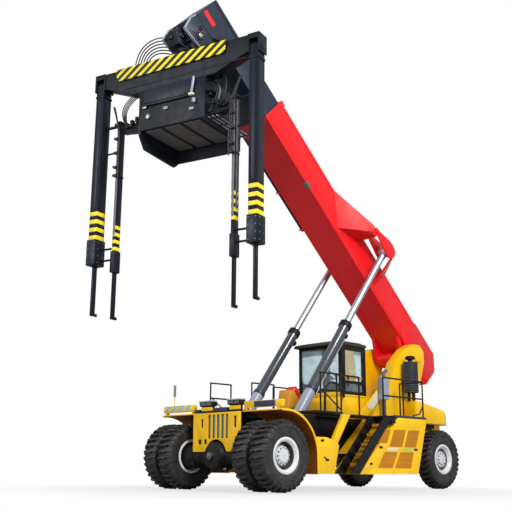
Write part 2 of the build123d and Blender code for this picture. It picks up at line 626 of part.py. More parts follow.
# ---------------------------------------------------------------- outer boom
half_boom = boom_width / 2
boom_top = boom_bottom + boom_depth
boom_skin = 25
outer = boom_plate([(-900, 0), (500, boom_bottom), (boom_front, boom_bottom), (boom_front, boom_top),
                    (-900, boom_top), (-boom_tail, boom_top - 380), (-boom_tail + 40, 130)],
                   -half_boom, half_boom)
outer -= boom_block(boom_hollow_start, boom_front + 10, -half_boom + boom_skin, half_boom - boom_skin,
                    boom_bottom + boom_skin, boom_top - boom_skin)
tail_cheek = 35                             # thickening plates on the boom's tail
cheek_side = [(-boom_tail + 80, 200), (-820, 60), (300, 190), (810, 330), (620, 700), (430, boom_top),
              (-880, boom_top), (-boom_tail + 40, boom_top - 390)]
collar = boom_block(boom_front - 180, boom_front, -half_boom - 30, half_boom + 30, boom_bottom - 30, boom_top + 30)
collar -= boom_block(boom_front - 190, boom_front + 10, -half_boom + boom_skin, half_boom - boom_skin,
                     boom_bottom + boom_skin, boom_top - boom_skin)
outer += collar
pad = inner_inset - boom_skin - pin_gap
pad_back = boom_front - 350
for v0, v1 in ((boom_bottom + boom_skin, boom_bottom + boom_skin + pad),
               (boom_top - boom_skin - pad, boom_top - boom_skin)):
    outer += boom_block(pad_back, boom_front - 30, -300, 300, v0, v1)
for sign in (1, -1):
    y0, y1 = sorted((sign * (half_boom - boom_skin), sign * (half_boom - boom_skin - pad)))
    outer += boom_block(pad_back, boom_front - 30, y0, y1, boom_bottom + 200, boom_top - 200)
    y0, y1 = sorted((sign * (half_boom - 140), sign * (half_boom - 40)))
    outer += boom_plate([(-700, 300), (-230, -110), (0, -190), (230, -110), (800, 300)], y0, y1, 60)
    y0, y1 = sorted((sign * (half_boom - 5), sign * (half_boom + tail_cheek)))
    outer += boom_plate(cheek_side, y0, y1, 70)
    for u in (4990, 6350):
        y0, y1 = sorted((sign * (half_boom - 5), sign * (half_boom + 150)))
        if sign < 0:
            outer += boom_block(u - 25, u + 25, y0, y1, boom_bottom, boom_bottom + 40 - seat_gap)
outer += cross_rod(pivot_x, pivot_z, -half_boom + 40, half_boom - 40, 190)
outer += cross_rod(pivot_x, pivot_z, -tower_out + 20 + seat_gap, tower_out - 20 - seat_gap, pivot_pin_radius)

ear_inner = lift_y - lift_eye_width / 2 - 60
ear_outer = lift_y + lift_eye_width / 2 + 30
# side of the eye's outer cheek: along the boom and above it, from the eye
cheek_round = [(990, -35), (600, 60), (230, 210), (0, 245), (-190, 190), (-275, 30), (-235, -140),
               (-90, -235), (120, -215), (760, -110)]
cheek_points = [(lift_eye_u + du, lift_eye_v + dv) for du, dv in cheek_round]
# gussets that spread from the boom's side to the cheek: outline on the boom, then on the cheek
front_gusset = ([(2440, -35), (1530, -765), (660, -255), (660, -35)],
                [(990, -40), (830, -190), (660, -225), (660, -40)])
rear_gusset = ([(-810, -45), (-710, -745), (-630, -745), (-730, -45)],
               [(-250, 60), (-250, -120), (-180, -160), (-180, 100)])


def gusset(outlines, sign):
    """Solid between an outline on the boom's side and one on the cheek."""
    on_boom, on_cheek = [[(lift_eye_u + du, lift_eye_v + dv) for du, dv in rows] for rows in outlines]
    faces = [boom_plane(sign * (half_boom - 20)) * outline(on_boom),
             boom_plane(sign * (ear_outer + 20)) * outline(on_cheek)]
    return loft(faces, ruled=True)


for sign in (1, -1):
    y0, y1 = sorted((sign * ear_outer, sign * (ear_outer + 40)))
    outer += boom_plate(cheek_points, y0, y1, 50)
    y0, y1 = sorted((sign * ear_inner, sign * (ear_inner + 30)))
    outer += boom_plate([p for p in cheek_points if p[0] < lift_eye_u + 900], y0, y1, 50)
    outer += gusset(front_gusset, sign)
    outer += gusset(rear_gusset, sign)
    # room for the rod's eye, which drifts along the boom a little as the boom moves
    y0, y1 = sorted((sign * (ear_inner + 30), sign * ear_outer))
    outer -= boom_rod(lift_eye_u - 75, lift_eye_v + 10, y0, y1, lift_eye_radius + 15)
parts["outer_boom"] = outer

tray = boom_block(4900, boom_front - 200, -half_boom - 130, -half_boom, boom_bottom + 40, boom_bottom + 80)
tray += boom_block(4900, boom_front - 200, -half_boom - 130, -half_boom - 100, boom_bottom + 40, boom_bottom + 200)
parts["hose_tray"] = tray

# ---------------------------------------------------------------- inner boom and head
half_inner = half_boom - inner_inset
inner_bottom, inner_top = boom_bottom + inner_inset, boom_top - inner_inset
inner = boom_block(inner_start, head_start + 100, -half_inner, half_inner, inner_bottom, inner_top)
inner -= boom_block(inner_start - 10, head_start + 110, -half_inner + boom_skin, half_inner - boom_skin,
                    inner_bottom + boom_skin, inner_top - boom_skin)
parts["inner_boom"] = inner

head = boom_block(head_start + 100, head_front, -half_inner, half_inner, head_bottom, inner_top)
head_step = boom_front + retract_stroke + 30
head -= boom_plate([(head_start, 0), (head_step + 200, 0), (head_step, inner_bottom), (head_start, inner_bottom)],
                   -half_inner - 10, half_inner + 10)
cheek_inner = half_inner - 70
cheek_outline = [(head_step + 20, head_bottom + 70), (head_front, head_bottom + 70), (head_front + 20, hanger_v + 90),
                 (head_front - 100, hanger_v - 325), (hanger_u - 230, hanger_v - 230)]
for sign in (1, -1):
    y0, y1 = sorted((sign * cheek_inner, sign * half_inner))
    head += boom_plate(cheek_outline, y0, y1)
head += boom_rod(hanger_u, hanger_v, -cheek_inner - 10, cheek_inner + 10, hanger_pin_radius)
parts["boom_head"] = head

# ---------------------------------------------------------------- lift cylinders
lift_dir = (cos(lift_angle), sin(lift_angle))


def along_lift(distance, y):
    return (lift_foot_x + distance * lift_dir[0], y, lift_foot_z + distance * lift_dir[1])


barrel = cross_rod(lift_foot_x, lift_foot_z, lift_y - lift_eye_width / 2, lift_y + lift_eye_width / 2, lift_eye_radius)
barrel += rod(along_lift(120, lift_y), along_lift(lift_barrel_length, lift_y), lift_barrel_radius)
barrel += rod(along_lift(lift_barrel_length - 160, lift_y), along_lift(lift_barrel_length, lift_y),
              lift_barrel_radius + 28)
barrel -= rod(along_lift(205, lift_y), along_lift(lift_barrel_length - 80, lift_y), lift_rod_radius + 6)
barrel -= rod(along_lift(205, lift_y), along_lift(lift_barrel_length + 10, lift_y), lift_rod_radius + pin_gap)
barrel -= cross_rod(lift_foot_x, lift_foot_z, lift_y - 300, lift_y + 300, lift_pin_radius + pin_gap)
lift_rod = rod(along_lift(lift_length - lift_rod_length, lift_y), along_lift(lift_length - 60, lift_y),
               lift_rod_radius)
lift_rod += cross_rod(lift_eye_x, lift_eye_z, lift_y - lift_eye_width / 2, lift_y + lift_eye_width / 2, lift_eye_radius)
for side, shape in (("left", lambda s: s), ("right", mirror_y)):
    parts[f"lift_barrel_{side}"] = shape(barrel)
    parts[f"lift_rod_{side}"] = shape(lift_rod)

# ---------------------------------------------------------------- hanger
ear_outside = cheek_inner - 15
yoke = Pos(hanger_x, 0, (ring_top + ring_bottom) / 2) * Cylinder(slew_radius, ring_top - ring_bottom)
for sign in (1, -1):
    y0, y1 = sorted((sign * (ear_outside - 70), sign * ear_outside))
    ear = side_plate([(hanger_x - 210, ring_bottom + 30), (hanger_x + 230, ring_bottom + 30), (hanger_x + 110, hanger_z),
                      (hanger_x - 110, hanger_z)], y0, y1)
    ear += cross_rod(hanger_x, hanger_z, y0, y1, 120)
    yoke += ear
yoke += block(hanger_x - 150, hanger_x + 200, -ear_outside + 10, ear_outside - 10, ring_bottom + 30, ring_top + 20)
yoke += side_plate([(hanger_x + 150, ring_bottom + 40), (hanger_x + 480, ring_bottom + 120),
                    (hanger_x + 600, hanger_z + 60), (hanger_x + 420, hanger_z + 190),
                    (hanger_x + 330, hanger_z + 100), (hanger_x + 300, ring_top)], -230, 230)
yoke -= cross_rod(hanger_x, hanger_z, -cheek_inner, cheek_inner, hanger_pin_radius + pin_gap)
parts["hanger_yoke"] = yoke

# ---------------------------------------------------------------- spreader (local frame at the slew axis)
at_slew = Pos(hanger_x, 0, 0) * Rot(0, 0, slew_angle)
at_frame = at_slew * Pos(beam_forward, side_offset, 0)

slew_housing = Pos(0, 0, (beam_top + ring_bottom - seat_gap) / 2) * Cylinder(
    slew_radius - 20, ring_bottom - seat_gap - beam_top)
slew_housing += Pos(0, 0, beam_top + 30) * Cylinder(slew_radius + 60, 60)
for sign in (1, -1):
    slew_housing += Pos(sign * 250, sign * 250, (beam_top + ring_bottom) / 2 - 10) * Cylinder(
        90, ring_bottom - beam_top - 40)
parts["slew_housing"] = at_slew * slew_housing

beam_bottom = beam_top - beam_depth
half_leg = leg_spacing / 2
cap_half = 165
beam_end = half_leg - cap_half
beam = cross_plate([(-beam_end, beam_top), (beam_end, beam_top), (beam_end, beam_bottom + 180),
                    (1250, beam_bottom - 200), (-1250, beam_bottom - 200), (-beam_end, beam_bottom + 180)],
                   -beam_width / 2, beam_width / 2)
for sign in (1, -1):
    cap = block(-200, 200, sign * (half_leg - cap_half), sign * (half_leg + cap_half), beam_top - 140, beam_top)
    for y in (half_leg - cap_half + 15, half_leg + cap_half - 15):
        cap += block(-200, 200, sign * (y - 15), sign * (y + 15), beam_top - 490, beam_top)
    cap += rod((0, sign * (half_leg - cap_half), leg_pin_z), (0, sign * (half_leg + cap_half), leg_pin_z), 60)
    beam += cap
parts["spreader_beam"] = at_frame * beam

plate_front = beam_width / 2 + 60
plate = cross_plate([(-1780, beam_top - 340), (-1880, beam_top), (1640, beam_top), (1580, beam_top - 340)],
                    plate_front - 30, plate_front)
for y in (-1200, 0, 1200):
    plate += block(beam_width / 2, plate_front - 25, y - 40, y + 40, beam_top - 270, beam_top - 70)
parts["warning_plate"] = at_frame * plate

box = block(box_back, box_front, -box_half_width, box_half_width, box_bottom + 40, beam_bottom - 200)
box -= side_plate([(box_back - 10, beam_bottom - 210 - box_chamfer), (box_back + box_chamfer, beam_bottom - 200),
                   (box_back + box_chamfer, beam_bottom), (box_back - 10, beam_bottom)],
                  -box_half_width - 10, box_half_width + 10)
box += block(box_back + box_chamfer + 20, -beam_width / 2, -700, 700, beam_bottom - 210, beam_bottom + 250)
lip = 70
box += side_plate([(box_front - 20, box_bottom + 100), (box_front - 20, box_bottom - 60),
                   (box_front - 250, box_lip_bottom + 60), (box_back + 160, box_lip_bottom),
                   (box_back, box_lip_bottom + 140), (box_back, box_bottom + 100)],
                  -box_half_width, -box_half_width + lip, 50)
box += block(box_back, box_back + lip, -box_half_width, box_half_width, box_lip_bottom + 140, box_bottom + 100)
box += block(box_front - 5, box_front + 35, -860, 700, beam_top - 1220, beam_top - 810)
box -= block(box_front + 15, box_front + 45, -130, 370, beam_top - 945, beam_top - 905)
box += block(box_front - 5, box_front + 75, -860, 520, beam_top - 1300, beam_top - 1250)
for y in (-820, -200, 480):
    box += block(box_front - 5, box_front + 60, y - 25, y + 25, beam_top - 1255, beam_top - 1215)
# side shift cylinder along the near side, and the arms towards the slim legs
shift_y, shift_z = box_half_width + 85, beam_top - 1190
box += rod((-1050, shift_y, shift_z), (60, shift_y, shift_z), 65)
box += rod((60, shift_y, shift_z), (150, shift_y, shift_z), 35)
for x in (-1000, -480, 40):
    box += block(x - 30, x + 30, box_half_width - 5, shift_y + 20, shift_z - 130, shift_z + 20)
box += block(-700, -160, box_half_width - 5, box_half_width + 150, beam_top - 1560, beam_top - 1420)
arm_end = 1700
for sign in (1, -1):
    box += cross_plate([(sign * (box_half_width - 5), beam_top - 1850), (sign * (box_half_width - 5), beam_top - 1500),
                        (sign * (arm_end - 240), beam_top - 1620), (sign * arm_end, beam_top - 1660),
                        (sign * arm_end, beam_top - 1780)], -150, 20)
parts["spreader_box"] = at_frame * box

rub = Part()
for y in (-600, 0, 600):
    rub += block(box_back + 160, box_front - 90, y - 240, y + 240, box_bottom, box_bottom + 40)
parts["rub_panels"] = at_frame * rub

# ---------------------------------------------------------------- legs
# each row: name of the section, half width along the beam, half depth, bottom, top
leg_sections = [("post", 125, 160, beam_top - 4670, leg_pin_z), ("shoe_block", 150, 190, beam_top - 5350, beam_top - 4670),
                ("foot", 32, 65, leg_foot_z, beam_top - 5330)]
slim_sections = [("post", 45, 100, beam_top - 5040, beam_top - 1420), ("shoe_block", 70, 120, beam_top - 5580, beam_top - 5020),
                 ("foot", 30, 60, beam_top - 6790, beam_top - 5570)]
slim_offset = 620
slim_back = -60


def leg(sign):
    """Thick leg, slim leg beside it and the links between them, hung from one pin."""
    y = sign * half_leg
    shape = rod((0, y - 125, leg_pin_z), (0, y + 125, leg_pin_z), 160)
    for _, half_y, half_x, z0, z1 in leg_sections:
        shape += block(-half_x, half_x, y - half_y, y + half_y, z0, z1)
    shape += block(-160, 65, y - 32, y + 32, leg_foot_z, leg_foot_z + 70)
    slim_y = sign * (half_leg - slim_offset)
    for _, half_y, half_x, z0, z1 in slim_sections:
        shape += block(slim_back - half_x, slim_back + half_x, slim_y - half_y, slim_y + half_y, z0, z1)
    shape += block(slim_back - 150, slim_back + 60, slim_y - 30, slim_y + 30, beam_top - 6790, beam_top - 6720)
    for z, radius in ((beam_top - 1520, 40), (beam_top - 2270, 25), (beam_top - 4920, 28), (beam_top - 5220, 28)):
        shape += rod((slim_back, slim_y, z), (slim_back, y, z), radius)
    shape -= rod((0, y - 200, leg_pin_z), (0, y + 200, leg_pin_z), 60 + pin_gap)
    return shape


parts["leg_left"] = at_frame * leg(1)
parts["leg_right"] = at_frame * leg(-1)

# ---------------------------------------------------------------- place the origin and write the parts
whole = Compound(children=[Compound(children=list(shape.solids())) for shape in parts.values()])
extent = whole.bounding_box()
origin_x = (extent.min.X + extent.max.X) / 2
origin_y = (extent.min.Y + extent.max.Y) / 2
for name, shape in parts.items():
    placed = Pos(-origin_x, -origin_y, 0) * Compound(children=list(shape.solids()))
    export_step(placed, f"parts/{name}.step")
print("origin", round(origin_x, 3), round(origin_y, 3), "size", extent.size)
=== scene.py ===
# %% [markdown]
# # Reach stacker
# A reach stacker lifts containers and trailers with a telescopic boom. Its steel
# parts come from the exact model, which is loaded as a frame and left unchanged.
# Everything here either gives those parts a finish or stands in their place with
# more detail.

import json
import math

import bpy
from mathutils import Matrix, Vector

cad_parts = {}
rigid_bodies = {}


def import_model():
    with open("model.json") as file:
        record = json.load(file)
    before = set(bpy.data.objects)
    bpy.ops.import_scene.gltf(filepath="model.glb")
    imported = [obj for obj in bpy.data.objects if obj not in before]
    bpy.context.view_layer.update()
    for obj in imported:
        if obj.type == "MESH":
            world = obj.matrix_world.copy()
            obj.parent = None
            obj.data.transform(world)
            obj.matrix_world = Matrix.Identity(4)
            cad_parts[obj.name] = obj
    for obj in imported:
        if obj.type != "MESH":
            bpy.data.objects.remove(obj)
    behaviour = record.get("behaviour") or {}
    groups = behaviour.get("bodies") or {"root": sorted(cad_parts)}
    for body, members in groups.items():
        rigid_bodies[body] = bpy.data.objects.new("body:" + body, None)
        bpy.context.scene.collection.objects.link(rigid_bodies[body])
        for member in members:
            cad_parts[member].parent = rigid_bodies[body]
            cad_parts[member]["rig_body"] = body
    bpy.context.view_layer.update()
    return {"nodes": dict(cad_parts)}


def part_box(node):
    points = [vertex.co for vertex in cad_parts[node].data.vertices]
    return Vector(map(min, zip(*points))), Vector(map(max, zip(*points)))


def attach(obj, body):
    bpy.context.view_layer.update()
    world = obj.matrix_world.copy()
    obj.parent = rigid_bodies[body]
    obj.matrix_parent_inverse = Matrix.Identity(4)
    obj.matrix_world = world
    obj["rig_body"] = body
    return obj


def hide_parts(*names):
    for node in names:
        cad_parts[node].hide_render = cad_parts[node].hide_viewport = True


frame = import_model()

# %% [markdown]
# ## Places
# Sizes on a machine are given from its front axle, so places are written that
# way here too: x forward from the front axle, y to the left, z up from the
# ground. The front wheels of the exact model tell where that axle is.

# %% Find the front axle
left_low, left_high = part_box("front_tyres_left")
right_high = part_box("front_tyres_right")[1]
AXLE = Vector(((left_low.x + left_high.x) / 2, (left_low.y + right_high.y) / 2, 0))
WHEELBASE = 7.0
TYRE_RADIUS = (left_high.z - left_low.z) / 2
SIDES = (("left", 1), ("right", -1))


def at(x, y, z):
    """A place on the machine, from the front axle, in the scene's metres."""
    return AXLE + Vector((x, y, z))


print("front axle at", [round(v, 4) for v in AXLE], "tyre radius", round(TYRE_RADIUS, 4))

# %% [markdown]
# The boom leans back over the machine, and its pieces are easier to place along
# it: u runs up the boom from its pivot and v stands square to it.

# %% Places along the boom
LUFF = math.radians(43.5)
PIVOT = (-WHEELBASE, 3.9)


def on_boom(u, y, v):
    """A place u metres up the boom from its pivot and v metres above that line."""
    x = PIVOT[0] + u * math.cos(LUFF) - v * math.sin(LUFF)
    z = PIVOT[1] + u * math.sin(LUFF) + v * math.cos(LUFF)
    return at(x, y, z)

# %% [markdown]
# The spreader hangs level and is turned to the left by its slewing ring. Its own
# directions are p, forward across the beam, and q, to the left along the beam.

# %% Places on the spreader
SLEW = math.radians(16.6)
HANGER = on_boom(11.45, 0, -0.23)
BEAM_FORWARD, BEAM_SIDE = 0.408, -0.052


def on_spreader(p, q, z):
    """A place p metres ahead of the beam's middle and q metres to its left."""
    p, q = p + BEAM_FORWARD, q + BEAM_SIDE
    x = HANGER.x + p * math.cos(SLEW) - q * math.sin(SLEW)
    y = HANGER.y + p * math.sin(SLEW) + q * math.cos(SLEW)
    return Vector((x, y, z))


print("hanger pin at", [round(v, 3) for v in HANGER])

# %% [markdown]
# ## Tools for building
# An operator works on all that is selected, so each helper first clears the
# selection. Every helper leaves its mesh in place with the object at the origin.

# %% Selection
def only(obj):
    """Select one object and nothing else."""
    bpy.ops.object.select_all(action="DESELECT")
    obj.select_set(True)
    bpy.context.view_layer.objects.active = obj
    return obj


def fresh():
    """Clear the selection before something new is added."""
    bpy.ops.object.select_all(action="DESELECT")


def settle(obj):
    """Put an object's place, turn and scale into its mesh."""
    only(obj)
    bpy.ops.object.transform_apply(location=True, rotation=True, scale=True)
    return obj

# %% [markdown]
# Cut and welded steel has softened edges that catch the light. A Bevel modifier
# gives them, and it is applied so that the mesh holds its final shape.

# %% Rounded edges
def soften(obj, width, segments=2, angle=35):
    """Round the edges that are sharper than an angle, and shade the rest smooth."""
    only(obj)
    bpy.ops.object.modifier_add(type="BEVEL")
    edge = obj.modifiers[-1]
    edge.width = width
    edge.segments = segments
    edge.limit_method = "ANGLE"
    edge.angle_limit = math.radians(angle)
    edge.use_clamp_overlap = True
    bpy.ops.object.modifier_apply(modifier=edge.name)
    bpy.ops.object.shade_smooth_by_angle(angle=math.radians(angle))
    return obj


def shade(obj, angle):
    """Shade a piece smooth where its faces meet at less than an angle."""
    only(obj)
    bpy.ops.object.shade_smooth_by_angle(angle=math.radians(angle))
    return obj

# %% [markdown]
# A flat plate starts as a circle with as many corners as its outline. Each corner
# is moved to its place, and the face is extruded to the plate's thickness. A block
# that stands square is a scaled cube, and a slanted one is a plate of four corners.

# %% Blocks and plates
def block(low, high, place=at):
    """A block between two opposite corners, which place turns into the scene's metres."""
    fresh()
    low, high = place(*low), place(*high)
    size = [abs(high[i] - low[i]) for i in range(3)]
    bpy.ops.mesh.primitive_cube_add(size=1, location=(low + high) / 2, scale=size)
    return settle(bpy.context.object)


def plate(corners, thickness):
    """A plate with these corners, in the scene's metres, and a thickness vector."""
    fresh()
    bpy.ops.mesh.primitive_circle_add(vertices=len(corners), fill_type="NGON", location=(0, 0, 0))
    obj = bpy.context.object
    for vertex, corner in zip(obj.data.vertices, corners):
        vertex.co = corner
    bpy.ops.object.mode_set(mode="EDIT")
    bpy.ops.mesh.select_all(action="SELECT")
    bpy.ops.mesh.extrude_region_move(TRANSFORM_OT_translate={"value": thickness})
    bpy.ops.mesh.select_all(action="SELECT")
    bpy.ops.mesh.normals_make_consistent(inside=False)
    bpy.ops.object.mode_set(mode="OBJECT")
    return obj

# %% Bars and slanted blocks
def bar(start, end, radius, sides):
    """A round bar between two places."""
    fresh()
    run = end - start
    turn = run.to_track_quat("Z", "Y").to_euler()
    bpy.ops.mesh.primitive_cylinder_add(vertices=sides, radius=radius, depth=run.length,
                                        location=(start + end) / 2, rotation=turn)
    return settle(bpy.context.object)


def slanted_block(place, low, high):
    """A block whose edges follow one of the slanted sets of directions above."""
    corners = [place(low[0], low[1], low[2]), place(high[0], low[1], low[2]),
               place(high[0], high[1], low[2]), place(low[0], high[1], low[2])]
    return plate(corners, place(low[0], low[1], high[2]) - corners[0])


def eased_block(place, low, high, width, segments):
    """A slanted block with its edges rounded."""
    return soften(slanted_block(place, low, high), width, segments)

# %% [markdown]
# Round parts such as rims and caps are turned, as on a lathe: an outline is spun
# about an axis. A hose is a curve with a round section, made a mesh once it lies
# right. Its points only steer the curve, so it bends as softly as rubber.

# %% Turned parts
def turned(profile, steps=64):
    """A part turned about its own Y axis from an outline of (radius, width) points."""
    fresh()
    bpy.ops.mesh.primitive_circle_add(vertices=len(profile), fill_type="NOTHING", location=(0, 0, 0))
    obj = bpy.context.object
    for vertex, (radius, width) in zip(obj.data.vertices, profile):
        vertex.co = (radius, width, 0)
    bpy.ops.object.mode_set(mode="EDIT")
    bpy.ops.mesh.select_all(action="SELECT")
    bpy.ops.mesh.spin(steps=steps, angle=2 * math.pi, center=(0, 0, 0), axis=(0, 1, 0))
    bpy.ops.mesh.select_all(action="SELECT")
    bpy.ops.mesh.remove_doubles(threshold=0.0002)
    bpy.ops.mesh.normals_make_consistent(inside=False)
    bpy.ops.object.mode_set(mode="OBJECT")
    return obj

# %% Hoses and balls
def hose(points, radius):
    """A round hose that bends smoothly past a row of places."""
    fresh()
    line = bpy.data.curves.new("hose", "CURVE")
    line.dimensions = "3D"
    line.bevel_depth = radius
    line.bevel_resolution = 2
    line.use_fill_caps = True
    run = line.splines.new("NURBS")
    run.points.add(len(points) - 1)
    for spot, place in zip(run.points, points):
        spot.co = (place[0], place[1], place[2], 1)
    run.use_endpoint_u = True
    run.order_u = 4
    run.resolution_u = 8
    obj = bpy.data.objects.new("hose", line)
    bpy.context.scene.collection.objects.link(obj)
    only(obj)
    bpy.ops.object.convert(target="MESH")
    return shade(bpy.context.object, 60)


def ball(centre, radius):
    """A small ball, for a pipe end or a fitting."""
    fresh()
    bpy.ops.mesh.primitive_uv_sphere_add(segments=16, ring_count=8, radius=radius, location=centre)
    return settle(bpy.context.object)

# %% [markdown]
# Pieces of one finish that move together are joined into one object. What repeats
# is copied with its own mesh, and the right side is the left one mirrored. A
# finished piece is then named, painted and seated on the body it moves with.

# %% Joining and copying
def joined(objects, name):
    """Join pieces into one object."""
    fresh()
    for obj in objects:
        obj.select_set(True)
    bpy.context.view_layer.objects.active = objects[0]
    if len(objects) > 1:
        bpy.ops.object.join()
    result = bpy.context.view_layer.objects.active
    result.name = name
    result.data.name = name
    return result


def copied(obj, matrix):
    """Another one of a piece, with its own mesh, moved by a matrix."""
    twin = obj.copy()
    twin.data = obj.data.copy()
    bpy.context.scene.collection.objects.link(twin)
    twin.data.transform(matrix)
    if matrix.determinant() < 0:
        only(twin)
        bpy.ops.object.mode_set(mode="EDIT")
        bpy.ops.mesh.select_all(action="SELECT")
        bpy.ops.mesh.flip_normals()
        bpy.ops.object.mode_set(mode="OBJECT")
    return twin

# %% The right side
MIRROR = Matrix.Translation((0, 2 * AXLE.y, 0)) @ Matrix.Scale(-1, 4, (0, 1, 0))


def mirrored(obj):
    """The same piece for the machine's right side."""
    return copied(obj, MIRROR)

# %% Finishing and seating
def finish(obj, name, body, paint, replaces=()):
    """Name, paint and seat a finished piece on its body."""
    obj.name = name
    obj.data.name = name
    obj.data.materials.clear()
    obj.data.materials.append(paint)
    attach(obj, body)
    if replaces:
        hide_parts(*replaces)
    return obj


def seat(pieces, name, body, paint, edge=None):
    """Join pieces, round their edges if given a width and segments, and finish them."""
    whole = joined(pieces, name)
    if edge:
        soften(whole, *edge)
    return finish(whole, name, body, paint)


def both_sides(pieces, name, paint, bodies=("chassis", "chassis")):
    """Join and finish pieces on the left side, and their mirror image on the right."""
    left = joined(pieces, f"{name}_left")
    right = mirrored(left)
    finish(left, f"{name}_left", bodies[0], paint)
    finish(right, f"{name}_right", bodies[1], paint)

# %% [markdown]
# ## Paint
# Machine paint is a smooth gloss coat over steel. It is never one flat colour:
# dust settles low down, sun and washing change it in patches, and the sprayed
# film has a fine ripple. Noise on Object coordinates makes the patches and the
# ripple, and the height above the ground drives the dust.

# %% Materials, colours and noise
def new_material(name):
    """A material with its nodes, links and shader."""
    material = bpy.data.materials.new(name)
    material.use_nodes = True
    nodes, links = material.node_tree.nodes, material.node_tree.links
    shader = nodes["Principled BSDF"]
    return material, nodes, links, shader


def rgba(colour, by=1.0):
    """A colour made darker or lighter, as a socket takes it."""
    return tuple(min(1, c * by) for c in colour) + (1,)


def noise(nodes, links, scale, detail, stretch=(1, 1, 1)):
    """Noise on Object coordinates, so that it keeps its size on every piece."""
    coordinates = nodes.new("ShaderNodeTexCoord")
    mapping = nodes.new("ShaderNodeMapping")
    mapping.inputs["Scale"].default_value = stretch
    texture = nodes.new("ShaderNodeTexNoise")
    texture.inputs["Scale"].default_value = scale
    texture.inputs["Detail"].default_value = detail
    links.new(coordinates.outputs["Object"], mapping.inputs["Vector"])
    links.new(mapping.outputs["Vector"], texture.inputs["Vector"])
    return texture.outputs["Fac"]


def spread(nodes, links, value, low, high, to_low, to_high):
    """Map a value from one range to another and hold it there."""
    node = nodes.new("ShaderNodeMapRange")
    links.new(value, node.inputs["Value"])
    node.inputs["From Min"].default_value = low
    node.inputs["From Max"].default_value = high
    node.inputs["To Min"].default_value = to_low
    node.inputs["To Max"].default_value = to_high
    return node.outputs["Result"]

# %% Arithmetic and blends
def math_node(nodes, links, kind, a, b):
    """One step of arithmetic on two values or sockets."""
    node = nodes.new("ShaderNodeMath")
    node.operation = kind
    for socket, value in zip(node.inputs, (a, b)):
        if isinstance(value, (int, float)):
            socket.default_value = value
        else:
            links.new(value, socket)
    return node.outputs["Value"]


def blend_colours(nodes, links, factor, a, b):
    """Blend two colours, or the sockets they come from, by a factor's socket."""
    node = nodes.new("ShaderNodeMix")
    node.data_type = "RGBA"
    links.new(factor, node.inputs[0])
    for socket, value in ((node.inputs[6], a), (node.inputs[7], b)):
        if isinstance(value, tuple):
            socket.default_value = value
        else:
            links.new(value, socket)
    return node.outputs[2]

# %% Relief and height
def relief(nodes, links, shader, height, strength, distance):
    """Let a pattern raise the surface a little."""
    bump = nodes.new("ShaderNodeBump")
    bump.inputs["Strength"].default_value = strength
    bump.inputs["Distance"].default_value = distance
    links.new(height, bump.inputs["Height"])
    links.new(bump.outputs["Normal"], shader.inputs["Normal"])


def height_above_ground(nodes, links):
    """The height, which Object coordinates give because every piece sits at the origin."""
    coordinates = nodes.new("ShaderNodeTexCoord")
    split = nodes.new("ShaderNodeSeparateXYZ")
    links.new(coordinates.outputs["Object"], split.inputs["Vector"])
    return split.outputs["Z"]

# %% Painted steel
DUST_BROWN = (0.16, 0.12, 0.08)


def painted(name, colour, roughness=0.35, dust=0.35, wear=0.12, coat=0.25, shine=0.5):
    """Gloss machine paint: patches, a low film of dust and a fine ripple."""
    material, nodes, links, shader = new_material(name)
    patches = spread(nodes, links, noise(nodes, links, 1.3, 6), 0.35, 0.65, 0, 1)
    film = blend_colours(nodes, links, patches, rgba(colour, 1 - wear), rgba(colour, 1 + wear * 0.6))
    speckle = spread(nodes, links, noise(nodes, links, 9, 8), 0.45, 0.7, 0, 1)
    low = spread(nodes, links, height_above_ground(nodes, links), 0.1, 1.5, dust, 0.0)
    dirt = math_node(nodes, links, "MULTIPLY", low, speckle)
    links.new(blend_colours(nodes, links, dirt, film, rgba(DUST_BROWN)), shader.inputs["Base Color"])
    gloss = spread(nodes, links, noise(nodes, links, 4, 5), 0.3, 0.7, roughness * 0.85, roughness * 1.25)
    links.new(gloss, shader.inputs["Roughness"])
    shader.inputs["Coat Weight"].default_value = coat
    shader.inputs["Coat Roughness"].default_value = 0.12
    shader.inputs["Specular IOR Level"].default_value = shine
    relief(nodes, links, shader, noise(nodes, links, 60, 2), 0.06, 0.004)
    return material

# %% The machine's paints
YELLOW = painted("chassis_yellow", (0.94, 0.54, 0.002), dust=0.25, coat=0.12, shine=0.35)
RED = painted("boom_red", (0.78, 0.006, 0.010), dust=0.0, wear=0.08, coat=0.12, shine=0.35)
SLATE = painted("head_slate", (0.014, 0.025, 0.043), dust=0.0, coat=0.05, shine=0.35)
BLUE_BLACK = painted("spreader_blue", (0.003, 0.006, 0.013), roughness=0.4, dust=0.0, coat=0.0, shine=0.25)
NAVY = painted("box_navy", (0.007, 0.013, 0.027), roughness=0.4, dust=0.0, coat=0.05, shine=0.3)
BLACK = painted("black_steel", (0.006, 0.006, 0.008), roughness=0.45, dust=0.15, coat=0.05, shine=0.28)
# brown for the inside of the fenders: painted shade and mud
BROWN = painted("fender_shade_and_mud_brown", (0.34, 0.090, 0.003), roughness=0.7, dust=0.5, coat=0.0, shine=0.2)
OLIVE = painted("cab_roof_olive", (0.030, 0.030, 0.014), roughness=0.45, coat=0.1)
WHITE_RIM = painted("rim_white", (0.74, 0.74, 0.75), roughness=0.33, dust=0.25, wear=0.08)
SILVER = painted("hub_silver", (0.62, 0.64, 0.67), roughness=0.28, dust=0.15, wear=0.12, coat=0.5)
GUNMETAL = painted("barrel_gunmetal", (0.050, 0.060, 0.075), roughness=0.25, wear=0.2, coat=0.6)
PALE_STEEL = painted("gland_grey", (0.30, 0.34, 0.42), roughness=0.25, wear=0.15, coat=0.5)
# black paint of the axles, also used as painted shade on the chassis frame
AXLE_BLACK_AND_SHADE = painted("axle_black_and_shade", (0.006, 0.006, 0.006), roughness=0.55, dust=0.2, coat=0.0, shine=0.25)
GREY = painted("machine_grey", (0.10, 0.11, 0.12), roughness=0.5)
